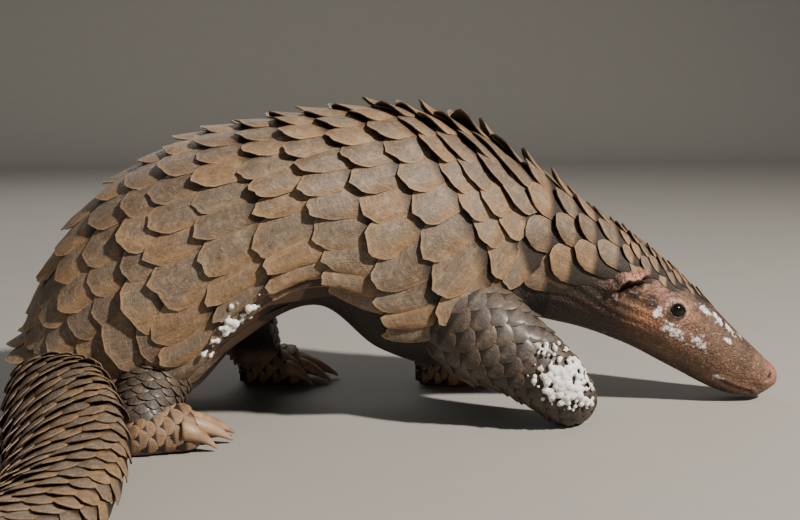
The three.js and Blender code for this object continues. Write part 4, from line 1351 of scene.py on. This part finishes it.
def claw_points(name, index):
    """Bent tapering rings, dropped by the square of the way out, deeper than wide."""
    heel, heading, length, half, height, claws = FEET[name]
    turn = math.radians(heading)
    along = np.array([math.cos(turn), math.sin(turn), 0])
    side = np.array([math.sin(turn), -math.cos(turn), 0])
    middle = (len(claws) - 1) / 2
    spread = (index - middle) / middle
    way = unit(along + side * CLAW_FAN * spread)
    root = np.array([*heel, height * CLAW_RISE])
    root = root + along * (length * (1 - CLAW_ARC * spread ** 2) - CLAW_ROOT)
    root = root + side * (half * CLAW_SPREAD * spread)
    t = np.linspace(0, 1, CLAW_STEPS + 1)[:, None]
    path = root + way * t * (claws[index] + CLAW_ROOT)
    path[:, 2] = root[2] - height * CLAW_DROP * t[:, 0] ** 2
    radius = CLAW_WIDTH / 2 * (1 - CLAW_TAPER * t ** 2)
    across = np.cross([0, 0, 1], way)
    angle = np.linspace(0, 2 * math.pi, CLAW_SIDES, endpoint=False)
    deep = np.where(np.sin(angle) < 0, CLAW_UNDER, CLAW_OVER)
    ring = (across[None, None] * (np.cos(angle)[None, :, None] * CLAW_WIDE)
            + np.array([0, 0, 1.0]) * (np.sin(angle) * deep)[None, :, None])
    points = path[:, None, :] + ring * radius[:, None]
    ends = [path[0], path[-1] + way * 0.5]
    return np.vstack([points.reshape(-1, 3), ends]), tube_faces(CLAW_STEPS + 1, CLAW_SIDES)


class PANGOLIN_OT_claws(bpy.types.Operator):
    """Shape the claws of the three feet"""

    bl_idname = "pangolin.claws"
    bl_label = "Claws"

    def execute(self, context):
        tones = context.scene.pangolin_colours
        look = Finish("claw_horn", Specular_IOR_Level=0.45)
        objects = look.objects()
        lines = look.noise(objects, 900, 4, 0.6, stretch=(0.12, 1, 1))
        stain = look.noise(objects, 150, 3)
        shade = look.mix(stain.between(0.35, 0.7), tones.claw, tones.ochre)
        shade = look.mix(lines.between(0.55, 0.7) * 0.4, shade, tones.dark_horn)
        look.finish(shade, 0.4 + stain * 0.2, lines, 0.5, 0.0003)
        for name, (_, _, _, _, _, claws) in FEET.items():
            for index in range(len(claws)):
                node = f"{name}_claw_{index + 1}"
                claw = add_mesh(f"{node}_horn", *claw_points(name, index), "claws")
                claw.data.materials.append(look.material)
                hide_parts(node)
        return {"FINISHED"}


def lumps(tube, spot, salt):
    """Many small spheres strewn round a place of a tube, on top of its scales.

    Their distances from it are root(-2 ln(1 - u)) spreads for u from 0 to 0.86, so that
    they crowd in the middle, and the largest lie there too.
    """
    at, turn, along, round_, number = spot
    k = np.arange(number)
    ring = np.sqrt(-2 * np.log(1 - 0.86 * chance(k, 1.0, salt)))
    way = 2 * math.pi * chance(k, 2.0, salt)
    s = at + along * ring * np.cos(way)
    angle = np.radians(turn + round_ * ring * np.sin(way))
    radius = (0.9 + 1.7 * chance(k, 3.0, salt) ** 2) * (1 - 0.22 * ring)
    lift = tube.plate(s, angle) * 0.85 + 0.25 * radius
    centre = tube.point(s, angle) + tube.normal(s, angle) * lift[:, None]
    points, faces = ball(10, 8)
    return joined([(points * r + c, faces) for r, c in zip(radius, centre)])


class PANGOLIN_OT_powder(bpy.types.Operator):
    """Heap the white wound powder on the stump and along the edge of the flank"""

    bl_idname = "pangolin.powder"
    bl_label = "Wound powder"

    def execute(self, context):
        tones = context.scene.pangolin_colours
        look = Finish("dried_powder", Specular_IOR_Level=0.5)
        objects = look.objects()
        broad = look.noise(objects, 160, 4, 0.6)
        fine = look.noise(objects, 900, 3, 0.7)
        shade = look.mix((1 - broad.between(0.3, 0.46)) * 0.55, tones.powder, tones.sore)
        shade = look.mix((1 - fine.between(0.34, 0.5)) * 0.5, shade, tones.skin_pale)
        look.finish(shade, 0.45 + fine * 0.5, broad + fine, 0.9, 0.0008)
        stump = Tube(limb_stations(*LIMBS["foreleg_right"]), 12, 0.52)
        for name, tube, spot, salt in (
            ("stump_powder", stump, STUMP_POWDER, 3.0),
            ("flank_powder", trunk, FLANK_POWDER, 8.0),
        ):
            piece = add_mesh(name, *lumps(tube, spot, salt), "skin")
            mesh = remeshed(context, piece, POWDER_CELL, 3)
            smooth_shaded(mesh)
            mesh.materials.append(look.material)
        return {"FINISHED"}


class PANGOLIN_OT_bristles(bpy.types.Operator):
    """Grow the thin bristles of jaw, cheeks and ears"""

    bl_idname = "pangolin.bristles"
    bl_label = "Bristles"

    def execute(self, context):
        sizes = context.scene.pangolin_sizes
        tones = context.scene.pangolin_colours
        k = np.arange(sizes.bristles)
        luck = [chance(k, column, 41.0) for column in (1.0, 2.0, 3.0, 4.0, 5.0, 6.0)]
        s = BRISTLE_S + BRISTLE_RUN * luck[0]
        turn = BRISTLE_ANGLE + BRISTLE_SPREAD * luck[1] ** 0.8
        angle = np.where(luck[2] < 0.5, -1, 1) * np.radians(turn)
        root = trunk.point(s, angle)
        out = trunk.normal(s, angle)
        back = unit(trunk.point(s + 3, angle) - root)
        around = np.cross(out, back)
        lean = 1.2 + 1.1 * luck[3]
        way = unit(out + back * lean[:, None] + around * (luck[4] - 0.5)[:, None])
        length = sizes.bristle_length * 1000 * (0.35 + 0.65 * luck[5])
        t = np.array([0, 0.5, 1])
        droop = -0.3 * (t ** 2)[None, :, None] * length[:, None, None] * out[:, None]
        path = root[:, None] - 0.3 * out[:, None] + droop
        path = path + way[:, None] * (t[None, :, None] * length[:, None, None])
        girth = BRISTLE_RADIUS * (1 - 0.85 * t)[None, :, None, None]
        turns = 2 * math.pi * np.arange(3) / 3
        ring = (np.cross(way, out)[:, None, None] * np.cos(turns)[None, None, :, None]
                + out[:, None, None] * np.sin(turns)[None, None, :, None])
        points = path[:, :, None] + ring * girth
        points = points.reshape(len(k), len(t) * len(turns), 3)
        points = np.concatenate([points, path[:, :1], path[:, -1:]], axis=1)
        count = points.shape[1]
        sides = tube_faces(len(t), len(turns))
        faces = [[corner + count * i for corner in face] for i in k for face in sides]
        piece = add_mesh("bristles", points.reshape(-1, 3), faces, "skin")
        look = Finish("bristle", Specular_IOR_Level=0.4)
        tint = look.noise(look.objects(), 300)
        shade = look.mix(tint.between(0.4, 0.6), tones.skin_brown, tones.worn)
        look.finish(shade, 0.5 + tint * 0.1)
        piece.data.materials.append(look.material)
        patch = BAKE_PATCH * np.tile(np.linspace(-0.5, 0.5, count), len(k))
        spread = np.stack([np.repeat(angle / (2 * math.pi) + 0.5, count) + patch,
                           np.repeat(s / trunk.length, count) - patch], axis=1)
        add_map(piece.data, "OFBake", spread)
        return {"FINISHED"}


class PANGOLIN_OT_stage(bpy.types.Operator):
    """Set the pale floor, the soft studio light and the camera at the photo's angle"""

    bl_idname = "pangolin.stage"
    bl_label = "Stage"

    def execute(self, context):
        self.add_floor(context)
        world = bpy.data.worlds.new("studio")
        context.scene.world = world
        world.use_nodes = True
        sky = world.node_tree.nodes["Background"].inputs
        sky["Color"].default_value = SKY_TINT
        sky["Strength"].default_value = SKY_STRENGTH
        for name, (at, size, power, tint) in LAMPS.items():
            lamp = bpy.data.lights.new(name, "AREA")
            lamp.shape = "DISK"
            lamp.size = size
            lamp.energy = power
            lamp.color = tint
            light = bpy.data.objects.new(name, lamp)
            light.location = at
            aim = Vector(LAMP_TARGET) - Vector(at)
            light.rotation_euler = aim.to_track_quat("-Z", "Y").to_euler()
            context.scene.collection.objects.link(light)
        self.add_camera(context)
        return {"FINISHED"}

    def add_floor(self, context):
        """Level floor that bends up in a quarter wave behind the animal."""
        tones = context.scene.pangolin_colours
        wide = context.scene.pangolin_sizes.floor_width
        look = Finish("studio_floor", Specular_IOR_Level=0.2)
        grain = look.noise(look.objects(), 30, 4)
        pale = [value * 0.94 for value in tones.floor[:3]] + [1]
        look.finish(look.mix(grain, tones.floor, pale), 0.8, grain, 0.1, 0.001)
        run = np.linspace(0, 1, FLOOR_STEPS + 1)
        bend = (run - 0.5) * math.pi
        y = np.where(run < 0.5, -wide / 2 + run * wide * 1.6,
                     wide * 0.3 + np.sin(bend) * wide * 0.15)
        z = np.where(run < 0.5, 0, (1 - np.cos(bend)) * wide * 0.3)
        x = np.array([-wide / 2, wide / 2])
        points = np.stack([np.tile(x, len(run)), np.repeat(y, 2), np.repeat(z, 2)], axis=1)
        k = np.arange(FLOOR_STEPS) * 2
        faces = np.stack([k, k + 1, k + 3, k + 2], axis=1).tolist()
        mesh = bpy.data.meshes.new("studio_floor")
        mesh.from_pydata(points.tolist(), [], faces)
        smooth_shaded(mesh)
        mesh.materials.append(look.material)
        floor = bpy.data.objects.new("studio_floor", mesh)
        context.scene.collection.objects.link(floor)

    def add_camera(self, context):
        """Camera on the photo's bearing, aimed at a point over the model's middle."""
        bearing, rise = math.radians(BEARING), math.radians(RISE)
        look = Vector((-math.sin(bearing) * math.cos(rise), math.cos(bearing) * math.cos(rise),
                       -math.sin(rise)))
        lens = bpy.data.cameras.new("camera")
        lens.lens = LENS
        lens.sensor_width = SENSOR_WIDTH
        lens.sensor_fit = "HORIZONTAL"
        lens.clip_start = 0.01
        camera = bpy.data.objects.new("camera", lens)
        target = Vector(place(np.array([0.0, 0.0, TARGET_HEIGHT])))
        camera.location = target - look * (CAMERA_DISTANCE / 1000)
        camera.rotation_euler = look.to_track_quat("-Z", "Y").to_euler()
        context.scene.collection.objects.link(camera)
        context.scene.camera = camera


OPERATORS = (
    PANGOLIN_OT_skin,
    PANGOLIN_OT_body_scales,
    PANGOLIN_OT_head_scales,
    PANGOLIN_OT_tail_scales,
    PANGOLIN_OT_limb_scales,
    PANGOLIN_OT_eyes,
    PANGOLIN_OT_claws,
    PANGOLIN_OT_powder,
    PANGOLIN_OT_bristles,
    PANGOLIN_OT_stage,
)


class PANGOLIN_PT_panel(bpy.types.Panel):
    """Sizes, colours and pieces of the pangolin"""

    bl_idname = "PANGOLIN_PT_panel"
    bl_label = "Pangolin"
    bl_space_type = "VIEW_3D"
    bl_region_type = "UI"
    bl_category = "Pangolin"

    def draw(self, context):
        for group in (context.scene.pangolin_sizes, context.scene.pangolin_colours):
            for name in group.__annotations__:
                self.layout.prop(group, name)
        for operator in OPERATORS:
            self.layout.operator(operator.bl_idname)


CLASSES = (PangolinSizes, PangolinColours, *OPERATORS, PANGOLIN_PT_panel)


def register():
    """Adds the panel, the operators and the settings."""
    for one in CLASSES:
        bpy.utils.register_class(one)
    bpy.types.Scene.pangolin_sizes = bpy.props.PointerProperty(type=PangolinSizes)
    bpy.types.Scene.pangolin_colours = bpy.props.PointerProperty(type=PangolinColours)


def unregister():
    """Takes them out again."""
    del bpy.types.Scene.pangolin_colours
    del bpy.types.Scene.pangolin_sizes
    for one in reversed(CLASSES):
        bpy.utils.unregister_class(one)


def main():
    """Builds every piece."""
    register()
    for operator in OPERATORS:
        getattr(bpy.ops.pangolin, operator.bl_idname.split(".")[1])()
    bpy.context.view_layer.update()


if __name__ == "__main__":
    main()
